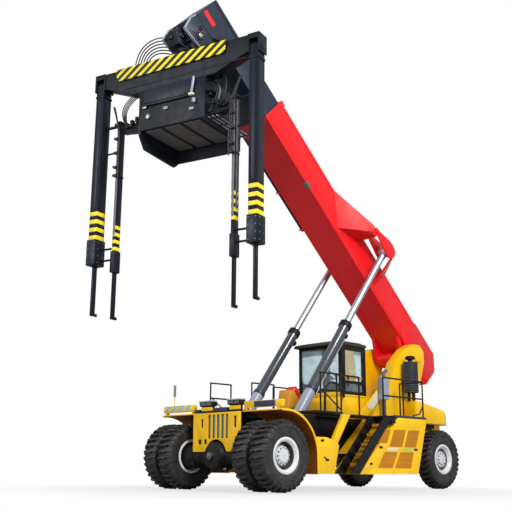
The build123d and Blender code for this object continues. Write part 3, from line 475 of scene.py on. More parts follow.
DEEP_BLUE = painted("deck_blue", (0.008, 0.022, 0.075), roughness=0.4, dust=0.0)
GRILLE_BACK = painted("grille_brown", (0.26, 0.095, 0.003), roughness=0.6, dust=0.1, coat=0.0)
ORANGE = painted("grille_orange", (0.66, 0.27, 0.004), roughness=0.5, dust=0.1)
SIGNAL_RED = painted("stripe_red", (0.72, 0.012, 0.008), roughness=0.3, dust=0.0)
CREAM = painted("plate_cream", (0.78, 0.72, 0.52), roughness=0.4, dust=0.1)
HAZARD_YELLOW = painted("hazard_yellow", (0.95, 0.72, 0.005), roughness=0.4, dust=0.0)
print("paints", len(bpy.data.materials))

# %% [markdown]
# Hazard stripes are slanted bands of yellow and black. A dot product measures how
# far a point lies across the bands, and a little under half of each cycle is
# painted yellow. Object coordinates keep the stripes' size on every plate.

# %% Hazard stripes
STRIPE_YELLOW, STRIPE_BLACK = (0.90, 0.74, 0.01), (0.010, 0.010, 0.012)
STRIPE_START = 0.54


def striped(name, across, width, ground=STRIPE_BLACK):
    """Slanted yellow stripes; across is the direction over the stripes, in scene axes."""
    material, nodes, links, shader = new_material(name)
    coordinates = nodes.new("ShaderNodeTexCoord")
    direction = nodes.new("ShaderNodeVectorMath")
    direction.operation = "DOT_PRODUCT"
    direction.inputs[1].default_value = across.normalized()
    links.new(coordinates.outputs["Object"], direction.inputs[0])
    cycle = math_node(nodes, links, "DIVIDE", direction.outputs["Value"], 2 * width)
    part = math_node(nodes, links, "FRACT", cycle, 0)
    band = math_node(nodes, links, "GREATER_THAN", part, STRIPE_START)
    patches = spread(nodes, links, noise(nodes, links, 6, 6), 0.35, 0.7, 0, 1)
    bright = blend_colours(nodes, links, patches, rgba(STRIPE_YELLOW), rgba(STRIPE_YELLOW, 0.8))
    colour = blend_colours(nodes, links, band, rgba(ground), bright)
    links.new(colour, shader.inputs["Base Color"])
    shader.inputs["Roughness"].default_value = 0.38
    shader.inputs["Coat Weight"].default_value = 0.3
    relief(nodes, links, shader, noise(nodes, links, 60, 2), 0.05, 0.004)
    return material


beam_way = Vector((-math.sin(SLEW), math.cos(SLEW), 0))
PLATE_STRIPES = striped("plate_stripes", beam_way * 0.594 - Vector((0, 0, 0.804)), 0.092)
BAR_STRIPES = striped("bar_stripes", Vector((0, 0.7, -0.7)), 0.10, ground=(0.36, 0.50, 0.62))
print("stripes", PLATE_STRIPES.name, BAR_STRIPES.name)

# %% [markdown]
# ## Rubber, chrome, glass and plastic
# Tyre rubber is dull and browned by dust in patches. A lift rod is hard chrome,
# a little smeared with oil. Cab glass is tinted and reflects the sky. Each finish
# has its own function, because their sockets differ.

# %% Rubber, chrome and bare steel
def rubber(name, colour, dust_colour):
    """Dull rubber with dust in patches."""
    material, nodes, links, shader = new_material(name)
    dusty = spread(nodes, links, noise(nodes, links, 5, 8), 0.4, 0.75, 0, 0.55)
    dusted = blend_colours(nodes, links, dusty, rgba(colour), rgba(dust_colour))
    links.new(dusted, shader.inputs["Base Color"])
    shader.inputs["Roughness"].default_value = 0.5
    relief(nodes, links, shader, noise(nodes, links, 90, 4), 0.25, 0.006)
    return material


def bright_metal(name, colour, roughness):
    """Bare metal with faint smears, drawn out along z."""
    material, nodes, links, shader = new_material(name)
    shader.inputs["Metallic"].default_value = 1.0
    patches = spread(nodes, links, noise(nodes, links, 12, 4, (1, 1, 0.2)), 0.3, 0.7, 0.0, 1.0)
    smeared = blend_colours(nodes, links, patches, rgba(colour), rgba(colour, 0.88))
    links.new(smeared, shader.inputs["Base Color"])
    gloss = spread(nodes, links, noise(nodes, links, 25, 4), 0.3, 0.7, roughness, roughness * 1.8)
    links.new(gloss, shader.inputs["Roughness"])
    return material


TYRE_RUBBER = rubber("tyre_rubber", (0.013, 0.013, 0.014), (0.060, 0.055, 0.049))
CHROME = bright_metal("rod_chrome", (0.60, 0.66, 0.74), 0.30)
STEEL = bright_metal("bare_steel", (0.45, 0.45, 0.46), 0.32)
print("rubber and metal", TYRE_RUBBER.name, CHROME.name, STEEL.name)

# %% Glass and moulded finishes
def glass(name, tint):
    """Tinted glass with faint smears."""
    material, nodes, links, shader = new_material(name)
    smears = spread(nodes, links, noise(nodes, links, 3, 5), 0.4, 0.7, 0, 1)
    links.new(blend_colours(nodes, links, smears, rgba(tint), rgba(tint, 1.25)), shader.inputs["Base Color"])
    shader.inputs["Roughness"].default_value = 0.04
    shader.inputs["Transmission Weight"].default_value = 0.90
    shader.inputs["IOR"].default_value = 1.2
    shader.inputs["Coat Weight"].default_value = 0.6
    shader.inputs["Coat Roughness"].default_value = 0.03
    return material


def moulded(name, colour, roughness, grain=120):
    """Plastic, hose or cloth, told apart by gloss and grain."""
    material, nodes, links, shader = new_material(name)
    patches = spread(nodes, links, noise(nodes, links, 8, 6), 0.35, 0.7, 0, 1)
    mottled = blend_colours(nodes, links, patches, rgba(colour), rgba(colour, 0.75))
    links.new(mottled, shader.inputs["Base Color"])
    shader.inputs["Roughness"].default_value = roughness
    relief(nodes, links, shader, noise(nodes, links, grain, 3), 0.15, 0.003)
    return material


CAB_GLASS = glass("cab_glazing", (0.72, 0.84, 0.90))
LAMP_LENS = glass("lamp_lens", (0.85, 0.88, 0.90))
HOSE = moulded("hose_black", (0.010, 0.010, 0.012), 0.45)
PANEL_GREY = moulded("rub_panel_grey", (0.085, 0.080, 0.075), 0.7, 60)
SEAT_CLOTH = moulded("seat_cloth", (0.02, 0.02, 0.024), 0.85, 220)
print("finishes", len(bpy.data.materials))

# %% [markdown]
# ## Dressing the exact parts
# Most steel parts already have their real shape, with edges as sharp as a knife.
# A copy of each is welded into whole faces, given rounded edges and painted, and
# the sharp one is hidden. The exact mesh itself stays untouched.

# %% Copy a node and round its edges
def dressed(node, paint, edge):
    """Put a painted copy of an exact part, with rounded edges, in its place."""
    source = frame["nodes"][node]
    twin = bpy.data.objects.new(f"{node}_finished", source.data.copy())
    bpy.context.scene.collection.objects.link(twin)
    only(twin)
    bpy.ops.object.mode_set(mode="EDIT")
    bpy.ops.mesh.select_all(action="SELECT")
    bpy.ops.mesh.remove_doubles(threshold=0.00005)
    bpy.ops.mesh.dissolve_limited(angle_limit=math.radians(1.0))
    bpy.ops.object.mode_set(mode="OBJECT")
    soften(twin, edge, 2, 30)
    return finish(twin, twin.name, source["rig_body"], paint, [node])

# %% Dress the parts
DRESS_TABLE = [
    # node, paint, edge radius in metres
    # the chassis frame is painted black all over as painted shade for the dark space under the walkways and
    # tanks
    ("chassis_frame", AXLE_BLACK_AND_SHADE, 0.006), ("front_panel", YELLOW, 0.005), ("front_axle", AXLE_BLACK_AND_SHADE, 0.008),
    ("rear_axle", AXLE_BLACK_AND_SHADE, 0.008), ("fender_left", YELLOW, 0.005), ("fender_right", YELLOW, 0.005),
    ("front_deck", BLACK, 0.004), ("walkway_left", BLACK, 0.004), ("walkway_right", BLACK, 0.004),
    ("side_tank_left", YELLOW, 0.012), ("side_tank_right", YELLOW, 0.012),
    ("service_box_left", YELLOW, 0.012), ("service_box_right", YELLOW, 0.012),
    ("stairs_left", BLACK, 0.004), ("stairs_right", BLACK, 0.004), ("counterweight", YELLOW, 0.03),
    ("boom_towers", YELLOW, 0.015), ("engine_block", GREY, 0.01), ("engine_hood", YELLOW, 0.012),
    ("air_cleaner", BLACK, 0.008), ("exhaust_stack", GREY, 0.005), ("handrails_left", BLACK, 0.002),
    ("handrails_right", BLACK, 0.002), ("work_lamps", BLACK, 0.01), ("width_bars", YELLOW, 0.006),
    ("cab_base", YELLOW, 0.012), ("cab_frame", BLACK, 0.008), ("cab_roof", OLIVE, 0.02),
    ("cab_glass", CAB_GLASS, 0.002), ("operator_seat", SEAT_CLOTH, 0.03), ("steering_column", BLACK, 0.004),
    ("cab_door", BLACK, 0.006), ("door_glass", CAB_GLASS, 0.002), ("front_rim_left", WHITE_RIM, 0.008),
    ("front_rim_right", WHITE_RIM, 0.008), ("rear_rim_left", WHITE_RIM, 0.008),
    ("rear_rim_right", WHITE_RIM, 0.008), ("knuckle_left", AXLE_BLACK_AND_SHADE, 0.006),
    ("knuckle_right", AXLE_BLACK_AND_SHADE, 0.006), ("outer_boom", RED, 0.010), ("hose_tray", BLACK, 0.003),
    ("inner_boom", SLATE, 0.008), ("boom_head", SLATE, 0.012), ("lift_barrel_left", GUNMETAL, 0.006),
    ("lift_barrel_right", GUNMETAL, 0.006), ("lift_rod_left", CHROME, 0.006),
    ("lift_rod_right", CHROME, 0.006), ("hanger_yoke", BLUE_BLACK, 0.010),
    ("slew_housing", BLUE_BLACK, 0.008), ("spreader_beam", BLUE_BLACK, 0.010),
    ("warning_plate", PLATE_STRIPES, 0.004), ("spreader_box", BLUE_BLACK, 0.012),
    ("rub_panels", PANEL_GREY, 0.008), ("leg_left", BLUE_BLACK, 0.006), ("leg_right", BLUE_BLACK, 0.006),
]
for node, paint, edge in DRESS_TABLE:
    dressed(node, paint, edge)
print("dressed", len(DRESS_TABLE), "parts")

# %% [markdown]
# ## Tyres
# An earth-mover tyre is a smooth casing with deep lugs that run in from each
# shoulder and meet in a zigzag. The casing is turned from its outline. One lug is
# a bent plate laid over the curve of the tread, and copies of it are set round
# both shoulders.

# %% Tyre casing
TYRE_WIDTH = 0.49
BEAD_RADIUS = 0.40
LUG_HEIGHT = 0.07
LUGS_PER_SIDE = 32


def casing():
    """The casing, turned from the outline of one side and its mirror image."""
    half, tread = TYRE_WIDTH / 2, TYRE_RADIUS - LUG_HEIGHT
    side = [(tread, half - 0.075), (tread - 0.02, half - 0.04), (TYRE_RADIUS - 0.13, half - 0.012),
            (TYRE_RADIUS - 0.17, half - 0.012), (TYRE_RADIUS - 0.18, half - 0.002),
            (TYRE_RADIUS - 0.20, half - 0.002), (TYRE_RADIUS - 0.21, half - 0.010),
            (BEAD_RADIUS + 0.15, half - 0.006), (BEAD_RADIUS + 0.10, half - 0.022),
            (BEAD_RADIUS + 0.075, half - 0.020), (BEAD_RADIUS + 0.05, half - 0.035),
            (BEAD_RADIUS + 0.03, half - 0.056), (BEAD_RADIUS, half - 0.056)]
    outline = side + [(radius, -width) for radius, width in reversed(side)]
    return shade(turned(outline, 72), 40)

# %% Tyre lug
def lug(side):
    """One lug: a bent bar from the shoulder to past the middle of the tread."""
    half = TYRE_WIDTH / 2
    top, base = TYRE_RADIUS - 0.006, TYRE_RADIUS - LUG_HEIGHT - 0.012
    wide = 0.56 * 2 * math.pi * TYRE_RADIUS / LUGS_PER_SIDE
    # place across the tread, how far the lug leans along it there, and its width there
    stations = [(half - 0.002, 0.00, wide), (half * 0.62, 0.012, wide * 0.95),
                (half * 0.25, 0.050, wide * 0.85), (-half * 0.12, 0.052, wide * 0.75)]
    corners = [(y, lean + width / 2) for y, lean, width in stations]
    corners += [(y, lean - width / 2) for y, lean, width in reversed(stations)]
    outline = [Vector((along * side, y * side, base)) for y, along in corners]
    flat_lug = plate(outline, Vector((0, 0, top - base)))
    for vertex in flat_lug.data.vertices:
        x, y, z = vertex.co
        shoulder = max(0.0, abs(y) - half * 0.72) / (half * 0.28)
        z -= 0.045 * shoulder ** 2
        if z < top - 0.02:
            z -= 0.05 * shoulder
        taper = 0.88 if z > base + 0.02 else 1.0
        angle = x * taper / TYRE_RADIUS
        vertex.co = (z * math.sin(angle), y, z * math.cos(angle))
    return soften(flat_lug, 0.006, 1, 30)

# %% One tyre
def tyre(name):
    """The casing with its lugs, the right side half a pitch behind the left."""
    pieces = [casing()]
    for side, offset in ((1, 0.0), (-1, math.pi / LUGS_PER_SIDE)):
        first = lug(side)
        for number in range(LUGS_PER_SIDE):
            turn = Matrix.Rotation(2 * math.pi * number / LUGS_PER_SIDE + offset, 4, "Y")
            pieces.append(copied(first, turn))
        bpy.data.objects.remove(first)
    return joined(pieces, name)


model_tyre = tyre("model_tyre")
print("one tyre has", len(model_tyre.data.polygons), "faces")

# %% [markdown]
# The machine stands on twin tyres in front and single steered tyres behind. Each
# set takes the place of the plain rings of the exact model and turns with its wheel.

# %% Set the tyres on their wheels
FRONT_Y, TWIN_HALF, REAR_Y = 1.709, 0.306, 1.53


def tyre_at(x, y):
    """A copy of the model tyre that stands on the ground at a place."""
    return copied(model_tyre, Matrix.Translation(at(x, y, TYRE_RADIUS)))


for side, sign in SIDES:
    twins = joined([tyre_at(0, sign * (FRONT_Y + offset)) for offset in (-TWIN_HALF, TWIN_HALF)], "twins")
    finish(twins, f"twin_tyres_{side}", f"front_wheels_{side}", TYRE_RUBBER,
           [f"front_tyres_{side}"])
    finish(tyre_at(-WHEELBASE, sign * REAR_Y), f"steered_tyre_{side}", f"rear_wheel_{side}", TYRE_RUBBER,
           [f"rear_tyre_{side}"])
bpy.data.objects.remove(model_tyre)
print("front tyres at", FRONT_Y - TWIN_HALF, "and", FRONT_Y + TWIN_HALF, "rear tyres at", REAR_Y)

# %% [markdown]
# ## Rims
# A wheel of this size is a white steel rim with a silver planetary hub. Between
# them lies a deep ring that is always in shade and dirt, crossed by the heads of
# the wheel nuts. The exact rim has the barrel and the hub, so a flared lip, a
# dark grey liner as painted shade in the ring, a hub cap and the nuts are turned
# or set on top of it.

# %% Wheel nuts
def wheel_nut():
    """A hexagon nut on its stud, both along y."""
    nut_and_stud = []
    for sides, radius, depth in ((6, 0.021, 0.030), (12, 0.011, 0.055)):
        fresh()
        bpy.ops.mesh.primitive_cylinder_add(vertices=sides, radius=radius, depth=depth,
                                            rotation=(math.pi / 2, 0, 0))
        nut_and_stud.append(settle(bpy.context.object))
    return soften(joined(nut_and_stud, "wheel_nut"), 0.003, 1)


def nut_ring(circle, count, face):
    """Nuts on a bolt circle, on a face that looks along +y at this y."""
    first = wheel_nut()
    ring = []
    for number in range(count):
        angle = 2 * math.pi * number / count
        spot = (circle * math.cos(angle), face, circle * math.sin(angle))
        ring.append(copied(first, Matrix.Translation(spot)))
    bpy.data.objects.remove(first)
    return joined(ring, "nut_ring")

# %% Lips, liners and hub caps
# outlines as (radius, distance out from the wheel's middle)
FRONT_LIP = [(0.399, 0.512), (0.399, 0.522), (0.375, 0.522), (0.335, 0.490), (0.315, 0.452),
             (0.322, 0.440), (0.357, 0.462)]
FRONT_SHADE_LINER = [(0.357, 0.098), (0.357, 0.440), (0.350, 0.440), (0.350, 0.105), (0.262, 0.105), (0.262, 0.098)]
FRONT_CAP = [(0.243, 0.300), (0.243, 0.334), (0.218, 0.399), (0.152, 0.424), (0.145, 0.436),
             (0.060, 0.440), (0.001, 0.440), (0.001, 0.420), (0.200, 0.300)]
FRONT_FLANGE = [(0.240, 0.255), (0.292, 0.262), (0.292, 0.286), (0.240, 0.292)]
REAR_LIP = [(0.399, 0.204), (0.399, 0.214), (0.372, 0.214), (0.330, 0.176), (0.300, 0.120),
            (0.308, 0.112), (0.357, 0.150)]
REAR_SHADE_LINER = [(0.357, 0.047), (0.357, 0.112), (0.350, 0.112), (0.350, 0.064), (0.235, 0.066), (0.235, 0.058)]
REAR_CAP = [(0.232, 0.062), (0.217, 0.133), (0.150, 0.140), (0.140, 0.158), (0.050, 0.162),
            (0.001, 0.162), (0.001, 0.130), (0.200, 0.062)]
# %% Dress the wheels
WHEEL_SETS = [
    # end, body, x, y, outlines of lip, shade liner and hub pieces, nut rings as circle, count and face
    ("front", "front_wheels", 0, FRONT_Y, FRONT_LIP, FRONT_SHADE_LINER, [FRONT_CAP, FRONT_FLANGE],
     [(0.272, 24, 0.296), (0.185, 12, 0.424)]),
    ("rear", "rear_wheel", -WHEELBASE, REAR_Y, REAR_LIP, REAR_SHADE_LINER, [REAR_CAP],
     [(0.270, 20, 0.078), (0.175, 10, 0.148)]),
]
# the grey liner is painted shade for the deep ring between rim and hub
for end, body, x, y, lip, shade_liner, caps, rings in WHEEL_SETS:
    sets = [("lip", shade(turned(lip), 40), WHITE_RIM), ("shade_liner", shade(turned(shade_liner), 40), GREY),
            ("cap", joined([shade(turned(cap), 30) for cap in caps], "cap"), SILVER),
            ("nuts", joined([nut_ring(*ring) for ring in rings], "nuts"), STEEL)]
    for part, obj, paint in sets:
        for side, sign in SIDES:
            way = Matrix.Translation(at(x, sign * y, TYRE_RADIUS)) @ Matrix.Scale(sign, 4, (0, 1, 0))
            finish(copied(obj, way), f"{end}_{part}_{side}", f"{body}_{side}", paint)
        bpy.data.objects.remove(obj)
print("wheels dressed", len(WHEEL_SETS) * 8, "pieces")

# %% [markdown]
# ## Side tanks and their grilles
# The side housings are open to the cooling air through slanting grilles. Each is
# a row of thin bars in front of a brown mesh, set into a shallow recess of the
# pressed sheet. The bars are real pieces, because light falls between them.

# %% Outlines of the grilles
TANK_FACE = 2.12
TANK_BACK = -WHEELBASE + 1.30
GRILLE_BARS = 17
GRILLES = [
    # metres ahead of the tank's back edge and height, of the lower front, upper front, upper
    # back and lower back corner
    [(1.720, 1.120), (1.490, 1.560), (0.970, 1.570), (1.140, 1.120)],
    [(1.070, 1.120), (0.870, 1.570), (0.340, 1.580), (0.540, 1.120)],
    [(2.240, 0.570), (1.920, 0.980), (1.350, 0.980), (1.590, 0.570)],
    [(1.520, 0.570), (1.250, 0.980), (0.650, 0.990), (0.780, 0.570)],
    [(2.190, 1.210), (1.960, 1.550), (1.630, 1.560), (1.800, 1.210)],
]


def between(a, b, part):
    """A point part of the way from one (x, z) corner to another."""
    return (a[0] + (b[0] - a[0]) * part, a[1] + (b[1] - a[1]) * part)


def upright_plate(outline, y, thick):
    """A plate that stands along the machine, from its (x, z) corners."""
    return plate([at(x, y, z) for x, z in outline], Vector((0, thick, 0)))

# %% Bars and mesh of a grille
def grille(corners):
    """Slanting bars with two rails behind them, and the mesh plate at the back."""
    low_front, high_front, high_back, low_back = [(TANK_BACK + x, z) for x, z in corners]
    pieces = []
    for number in range(GRILLE_BARS):
        start, end = (number + 0.3) / GRILLE_BARS, (number + 0.72) / GRILLE_BARS
        row = [between(low_front, low_back, start), between(low_front, low_back, end),
               between(high_front, high_back, end), between(high_front, high_back, start)]
        pieces.append(upright_plate(row, TANK_FACE - 0.019, 0.010))
    for height in (0.33, 0.67):
        front, back = between(low_front, high_front, height), between(low_back, high_back, height)
        row = [front, back, (back[0], back[1] + 0.014), (front[0], front[1] + 0.014)]
        pieces.append(upright_plate(row, TANK_FACE - 0.021, 0.006))
    mesh = upright_plate([low_front, low_back, high_back, high_front], TANK_FACE - 0.0235, 0.003)
    return joined(pieces, "grille"), mesh


bars_and_mesh = [grille(corners) for corners in GRILLES]
both_sides([bars for bars, mesh in bars_and_mesh], "grille_bars", ORANGE)
both_sides([mesh for bars, mesh in bars_and_mesh], "grille_mesh", GRILLE_BACK)
print("grilles", len(GRILLES), "on each side")

# %% [markdown]
# Doors in the sheet have small black pull handles in cups, and blank plates in
# pale, green and blue sit between the upper and lower grilles. A cup and a grip
# are two blocks with rounded edges, which is all that shows of them at this size.

# %% Handles and plates on the sides
def pull_handle(x, z, y=TANK_FACE, wide=0.075):
    """A grip that stands out of a shallow cup."""
    cup = block((x - wide, y - 0.002, z - 0.030), (x + wide, y + 0.006, z + 0.030))
    grip = block((x - wide * 0.7, y + 0.004, z - 0.011), (x + wide * 0.7, y + 0.024, z + 0.011))
    return joined([soften(cup, 0.010, 3), soften(grip, 0.007, 2)], "handle")


both_sides([pull_handle(-3.622, 1.10), pull_handle(-3.205, 0.68, wide=0.05),
            pull_handle(-1.40, 1.215, 2.08, 0.06), pull_handle(-1.57, 0.76, 2.08, 0.06)],
           "door_handles", BLACK)
stay = hose([at(-1.44, 2.09, 0.83), at(-1.50, 2.10, 0.80), at(-1.57, 2.10, 0.76)], 0.012)
both_sides([stay], "handle_rods", BLACK)
PLATE_GREEN = painted("plate_green", (0.50, 0.62, 0.10), dust=0.1)
SIDE_PLATES = [
    # name, paint, back, front, low, high
    ("pale_plates", CREAM, -4.354, -3.90, 1.025, 1.095),
    ("green_plates", PLATE_GREEN, -5.02, -4.56, 1.040, 1.105),
    ("blue_plates", DEEP_BLUE, -5.22, -5.06, 1.035, 1.100),
]
for name, paint, back, front, low, high in SIDE_PLATES:
    side_plate = block((back, TANK_FACE - 0.002, low), (front, TANK_FACE + 0.004, high))
    both_sides([soften(side_plate, 0.002, 1)], name, paint)
print("side plates", len(SIDE_PLATES), "on each side")

# %% [markdown]
# The stair is two black stringers with chequered treads between them. Each tread
# is folded sheet with ribs on top and bright grips on its nosing, so that feet
# find it in poor light. One loop sets every tread from the stair's run and rise.

# %% Stair treads
STAIR_INNER, STAIR_OUTER = 1.64, 2.20
STAIR_FRONT, STAIR_WIDTH, STAIR_RUN, STAIR_RISE = -2.33, 0.33, 1.39, 1.50
STAIR_FOOT, STEPS = 0.43, 6
treads, grips = [], []
for number in range(1, STEPS):
    x = STAIR_FRONT - STAIR_WIDTH / 2 - number * STAIR_RUN / STEPS
    z = STAIR_FOOT + number * STAIR_RISE / STEPS
    skin = block((x - 0.134, STAIR_INNER + 0.052, z - 0.024), (x + 0.134, STAIR_OUTER - 0.042, z + 0.024))
    nosing = block((x + 0.110, STAIR_INNER + 0.052, z - 0.070), (x + 0.138, STAIR_OUTER - 0.042, z + 0.026))
    grips += [block((x + 0.137, STAIR_INNER + 0.30 + n * 0.055, z - 0.058),
                    (x + 0.141, STAIR_INNER + 0.34 + n * 0.055, z + 0.018)) for n in range(4)]
    ribs = [block((x - 0.11 + n * 0.045, STAIR_INNER + 0.07, z + 0.022),
                  (x - 0.10 + n * 0.045, STAIR_OUTER - 0.06, z + 0.030)) for n in range(5)]
    treads.append(soften(joined([skin, nosing] + ribs, "tread"), 0.003, 1))
both_sides(treads, "stair_treads", BLACK)
both_sides(grips, "tread_grips", ORANGE)
print("treads", len(treads), "on each stair")

# %% [markdown]
# The front of the machine breathes through tall slats. A blue-grey cooler core
# stands just behind them and shows between the yellow bars. The holes beside it
# are backed with black sheet, and the axle's dome has a grey bolted cap. The fins
# are separate bars, so that each one catches its own line of light.

# %% Cooler and sheets behind the front slats
BLUE_GREY = painted("cooler_blue", (0.10, 0.23, 0.34), roughness=0.5, dust=0.1)
core = block((0.152, -0.302, 1.268), (0.184, 0.442, 1.832))
fins = [block((0.182, -0.298 + n * 0.0305, 1.275), (0.190, -0.288 + n * 0.0305, 1.825)) for n in range(24)]
seat([core] + fins, "cooler_core", "chassis", BLUE_GREY, (0.002, 1))
PANEL_HOLES = [
    # middle y, half width, low, high
    (-0.54, 0.06, 1.50, 1.77), (0.70, 0.07, 1.48, 1.82), (-0.62, 0.08, 1.10, 1.26), (-0.41, 0.06, 1.10, 1.26),
]
backs = [block((0.189, y - half, low), (0.199, y + half, high)) for y, half, low, high in PANEL_HOLES]
seat(backs, "panel_backs", "chassis", AXLE_BLACK_AND_SHADE, (0.003, 1))
print("cooler fins", len(fins), "panel backs", len(backs))

# %% Cap and tags of the front axle
dome = at(0.440, 0, TYRE_RADIUS)
forward = Vector((1, 0, 0))
dome_cap = [bar(dome - 0.030 * forward, dome + 0.012 * forward, 0.085, 32),
            bar(dome + 0.008 * forward, dome + 0.032 * forward, 0.045, 6)]
seat(dome_cap, "axle_cap", "chassis", GREY, (0.006, 2))
# a thin cream strip is a painted highlight on the lit lower front edge of the axle bar
strip = block((0.086, -0.02, 0.512), (0.100, 0.255, 0.548))
seat([strip], "axle_bar_lit_edge", "chassis", CREAM, (0.004, 2))
tags = [block((0.205, -0.335, z), (0.235, -0.270, z + 0.055)) for z in (0.60, 0.69, 0.78)]
seat(tags, "axle_tags", "chassis", YELLOW, (0.006, 2))
print("axle tags", len(tags))

# %% [markdown]
# The decks and the tank tops are walked on, so they carry sheet with raised bars.
# It is grey on the walkways and blue-black on the tanks. The bars could be a bump
# in the paint, but real ones still show when the deck is seen edge on.

# %% Plates on the decks
def deck_plate(low, high):
    """Sheet with raised bars for grip, laid on a deck."""
    sheet = block(low, high)
    count = max(3, int((high[0] - low[0]) / 0.12))
    step = (high[0] - low[0]) / count
    ribs = [block((low[0] + step * (n + 0.35), low[1] + 0.03, high[2] - 0.001),
                  (low[0] + step * (n + 0.50), high[1] - 0.03, high[2] + 0.005)) for n in range(count)]
    return soften(joined([sheet] + ribs, "deck_plate"), 0.002, 1)


tank_top_edge = soften(block((-5.66, 2.085, 1.895), (-4.26, 2.128, 1.955)), 0.004, 2)
both_sides([deck_plate((-5.66, 1.45, 1.928), (-4.26, 2.115, 1.948)), tank_top_edge],
           "tank_top_plates", DEEP_BLUE)
both_sides([deck_plate((-3.46, 1.245, 1.928), (-1.13, 1.625, 1.938)),
            deck_plate((-2.12, 1.65, 1.928), (-1.13, 2.10, 1.938))], "walkway_plates", GREY)
seat([block((0.02, -0.16, 1.925), (0.196, 0.34, 2.015)), block((0.02, -0.86, 1.925), (0.194, -0.72, 1.995))],
     "front_deck_box", "chassis", DEEP_BLUE, (0.006, 2))
print("deck plates laid")

# %% [markdown]
# ## Lamps and width bars
# Two wide work lamps stand at the front of the deck: a pale hood, lenses in a dark
# face and a yellow foot. The width bars show the driver where the front tyres are.
# The exact lamps and bars are dressed already, so only coloured parts are laid on.

# %% Work lamps
for number, (y, half) in enumerate([(-0.45, 0.25), (0.61, 0.24)]):
    hood_grey = painted(f"hood_grey_{number}", (0.42, 0.46, 0.48))
    seat([block((0.018, y - half - 0.012, 2.172), (0.212, y + half + 0.012, 2.204))],
         f"lamp_hood_{number}", "chassis", hood_grey, (0.010, 3))
    seat([block((0.055, y - half + 0.05, 1.945), (0.175, y + half - 0.05, 2.045))],
         f"lamp_foot_{number}", "chassis", YELLOW, (0.010, 2))
    lens_pitch = half - 0.03
    lenses = [block((0.192, y - half + 0.04 + n * lens_pitch, 2.085),
                    (0.204, y - half + 0.01 + (n + 1) * lens_pitch, 2.155)) for n in range(2)]
    seat(lenses, f"lamp_lenses_{number}", "chassis", LAMP_LENS, (0.008, 2))
print("front lamps set")

# %% Width bars
seat([block((0.052, 1.30, 1.968), (0.170, 2.02, 2.112))], "near_bar_sleeve", "chassis", DEEP_BLUE,
     (0.012, 3))
seat([block((0.048, -2.20, 1.975), (0.172, -1.02, 2.132))], "far_bar_board", "chassis", BAR_STRIPES,
     (0.012, 3))
seat([bar(at(0.11, -1.84, 2.385), at(0.11, -1.84, 2.688), 0.036, 24)], "flag_sleeve", "chassis",
     painted("flag_grey", (0.22, 0.23, 0.24)), (0.012, 3))
print("width bars dressed")

# %% [markdown]
# ## Fenders
# The arch over each pair of front tyres is yellow sheet outside. Inside, a brown
# liner is painted mud and painted shade under the arch, and a rolled lip stiffens
# its outer edge. Liner and lip are strips between two radii, bent by one formula,
# so that they fit the exact arch.

# %% Fender liners and lips
FENDER_RADIUS, FENDER_INNER, FENDER_OUTER = 1.07, 0.90, 2.26
FENDER_FRONT, FENDER_FOOT = 0.168, 0.424
ARCH_STEPS = 24


def arch_line(radius):
    """Points of the arch: level in front, round over the tyre, straight down behind."""
    line = [(FENDER_FRONT, TYRE_RADIUS + radius)]
    for number in range(ARCH_STEPS + 1):
        angle = math.pi / 2 * number / ARCH_STEPS
        line.append((-radius * math.sin(angle), TYRE_RADIUS + radius * math.cos(angle)))
    return line + [(-radius, FENDER_FOOT)]


def arch(outside, inside, y0, y1):
    """A strip of the fender's arch between two radii."""
    return upright_plate(arch_line(outside) + arch_line(inside)[::-1], y0, y1 - y0)


# the brown liner is painted shade and mud inside the arch
shade_liner = arch(FENDER_RADIUS - 0.029, FENDER_RADIUS - 0.036, FENDER_INNER + 0.035, FENDER_OUTER - 0.012)
both_sides([shade(shade_liner, 30)], "fender_liners", BROWN)
lip = arch(FENDER_RADIUS + 0.004, FENDER_RADIUS - 0.050, FENDER_OUTER - 0.016, FENDER_OUTER - 0.001)
both_sides([soften(lip, 0.004, 2)], "fender_lips", YELLOW)
print("fenders lined")

# %% [markdown]
# ## Towers, cover plates and the deck behind the cab
# Each tower has a slanting cover with a blank cream plate. Beside the near tower
# stand the air cleaner in its perforated shield and the exhaust in a grey heat
# shield. Rings and upright bars make the shield, because one can see through it.

# %% Cream plates on the tower covers
COVER_FACE, DECK_TOP = 1.000, 1.93


def cover_point(x, z):
    """A place on the cover, x ahead of the rear axle and z above the deck."""
    return at(-WHEELBASE + x, COVER_FACE, DECK_TOP + z)


corners = [cover_point(x, z) for x, z in ((1.90, 0.905), (1.735, 0.775), (2.290, 0.225), (2.560, 0.300))]
both_sides([soften(plate(corners, Vector((0, 0.006, 0))), 0.002, 1)], "cover_plates", CREAM)
screws = [bar(cover_point(x, z), cover_point(x, z) + Vector((0, 0.012, 0)), 0.014, 12)
          for x, z in ((1.895, 0.870), (1.760, 0.775), (2.270, 0.260), (2.515, 0.310))]
both_sides([soften(joined(screws, "screws"), 0.003, 1)], "cover_screws", STEEL)
print("screws in each cover", len(screws))

# %% Shield and cap of the air cleaner
CLEANER_X, CLEANER_Y = -WHEELBASE + 0.75, 1.23
SHIELD_RADIUS, SHIELD_LOW, SHIELD_HIGH, SHIELD_RINGS, SHIELD_BARS = 0.212, 2.74, 3.60, 13, 30


def turned_upright(profile, foot):
    """A part turned about an upright line over its foot, from (radius, height) points."""
    lying = shade(turned(profile, 40), 40)
    standing = copied(lying, Matrix.Translation(foot) @ Matrix.Rotation(math.pi / 2, 4, "X"))
    bpy.data.objects.remove(lying)
    return standing


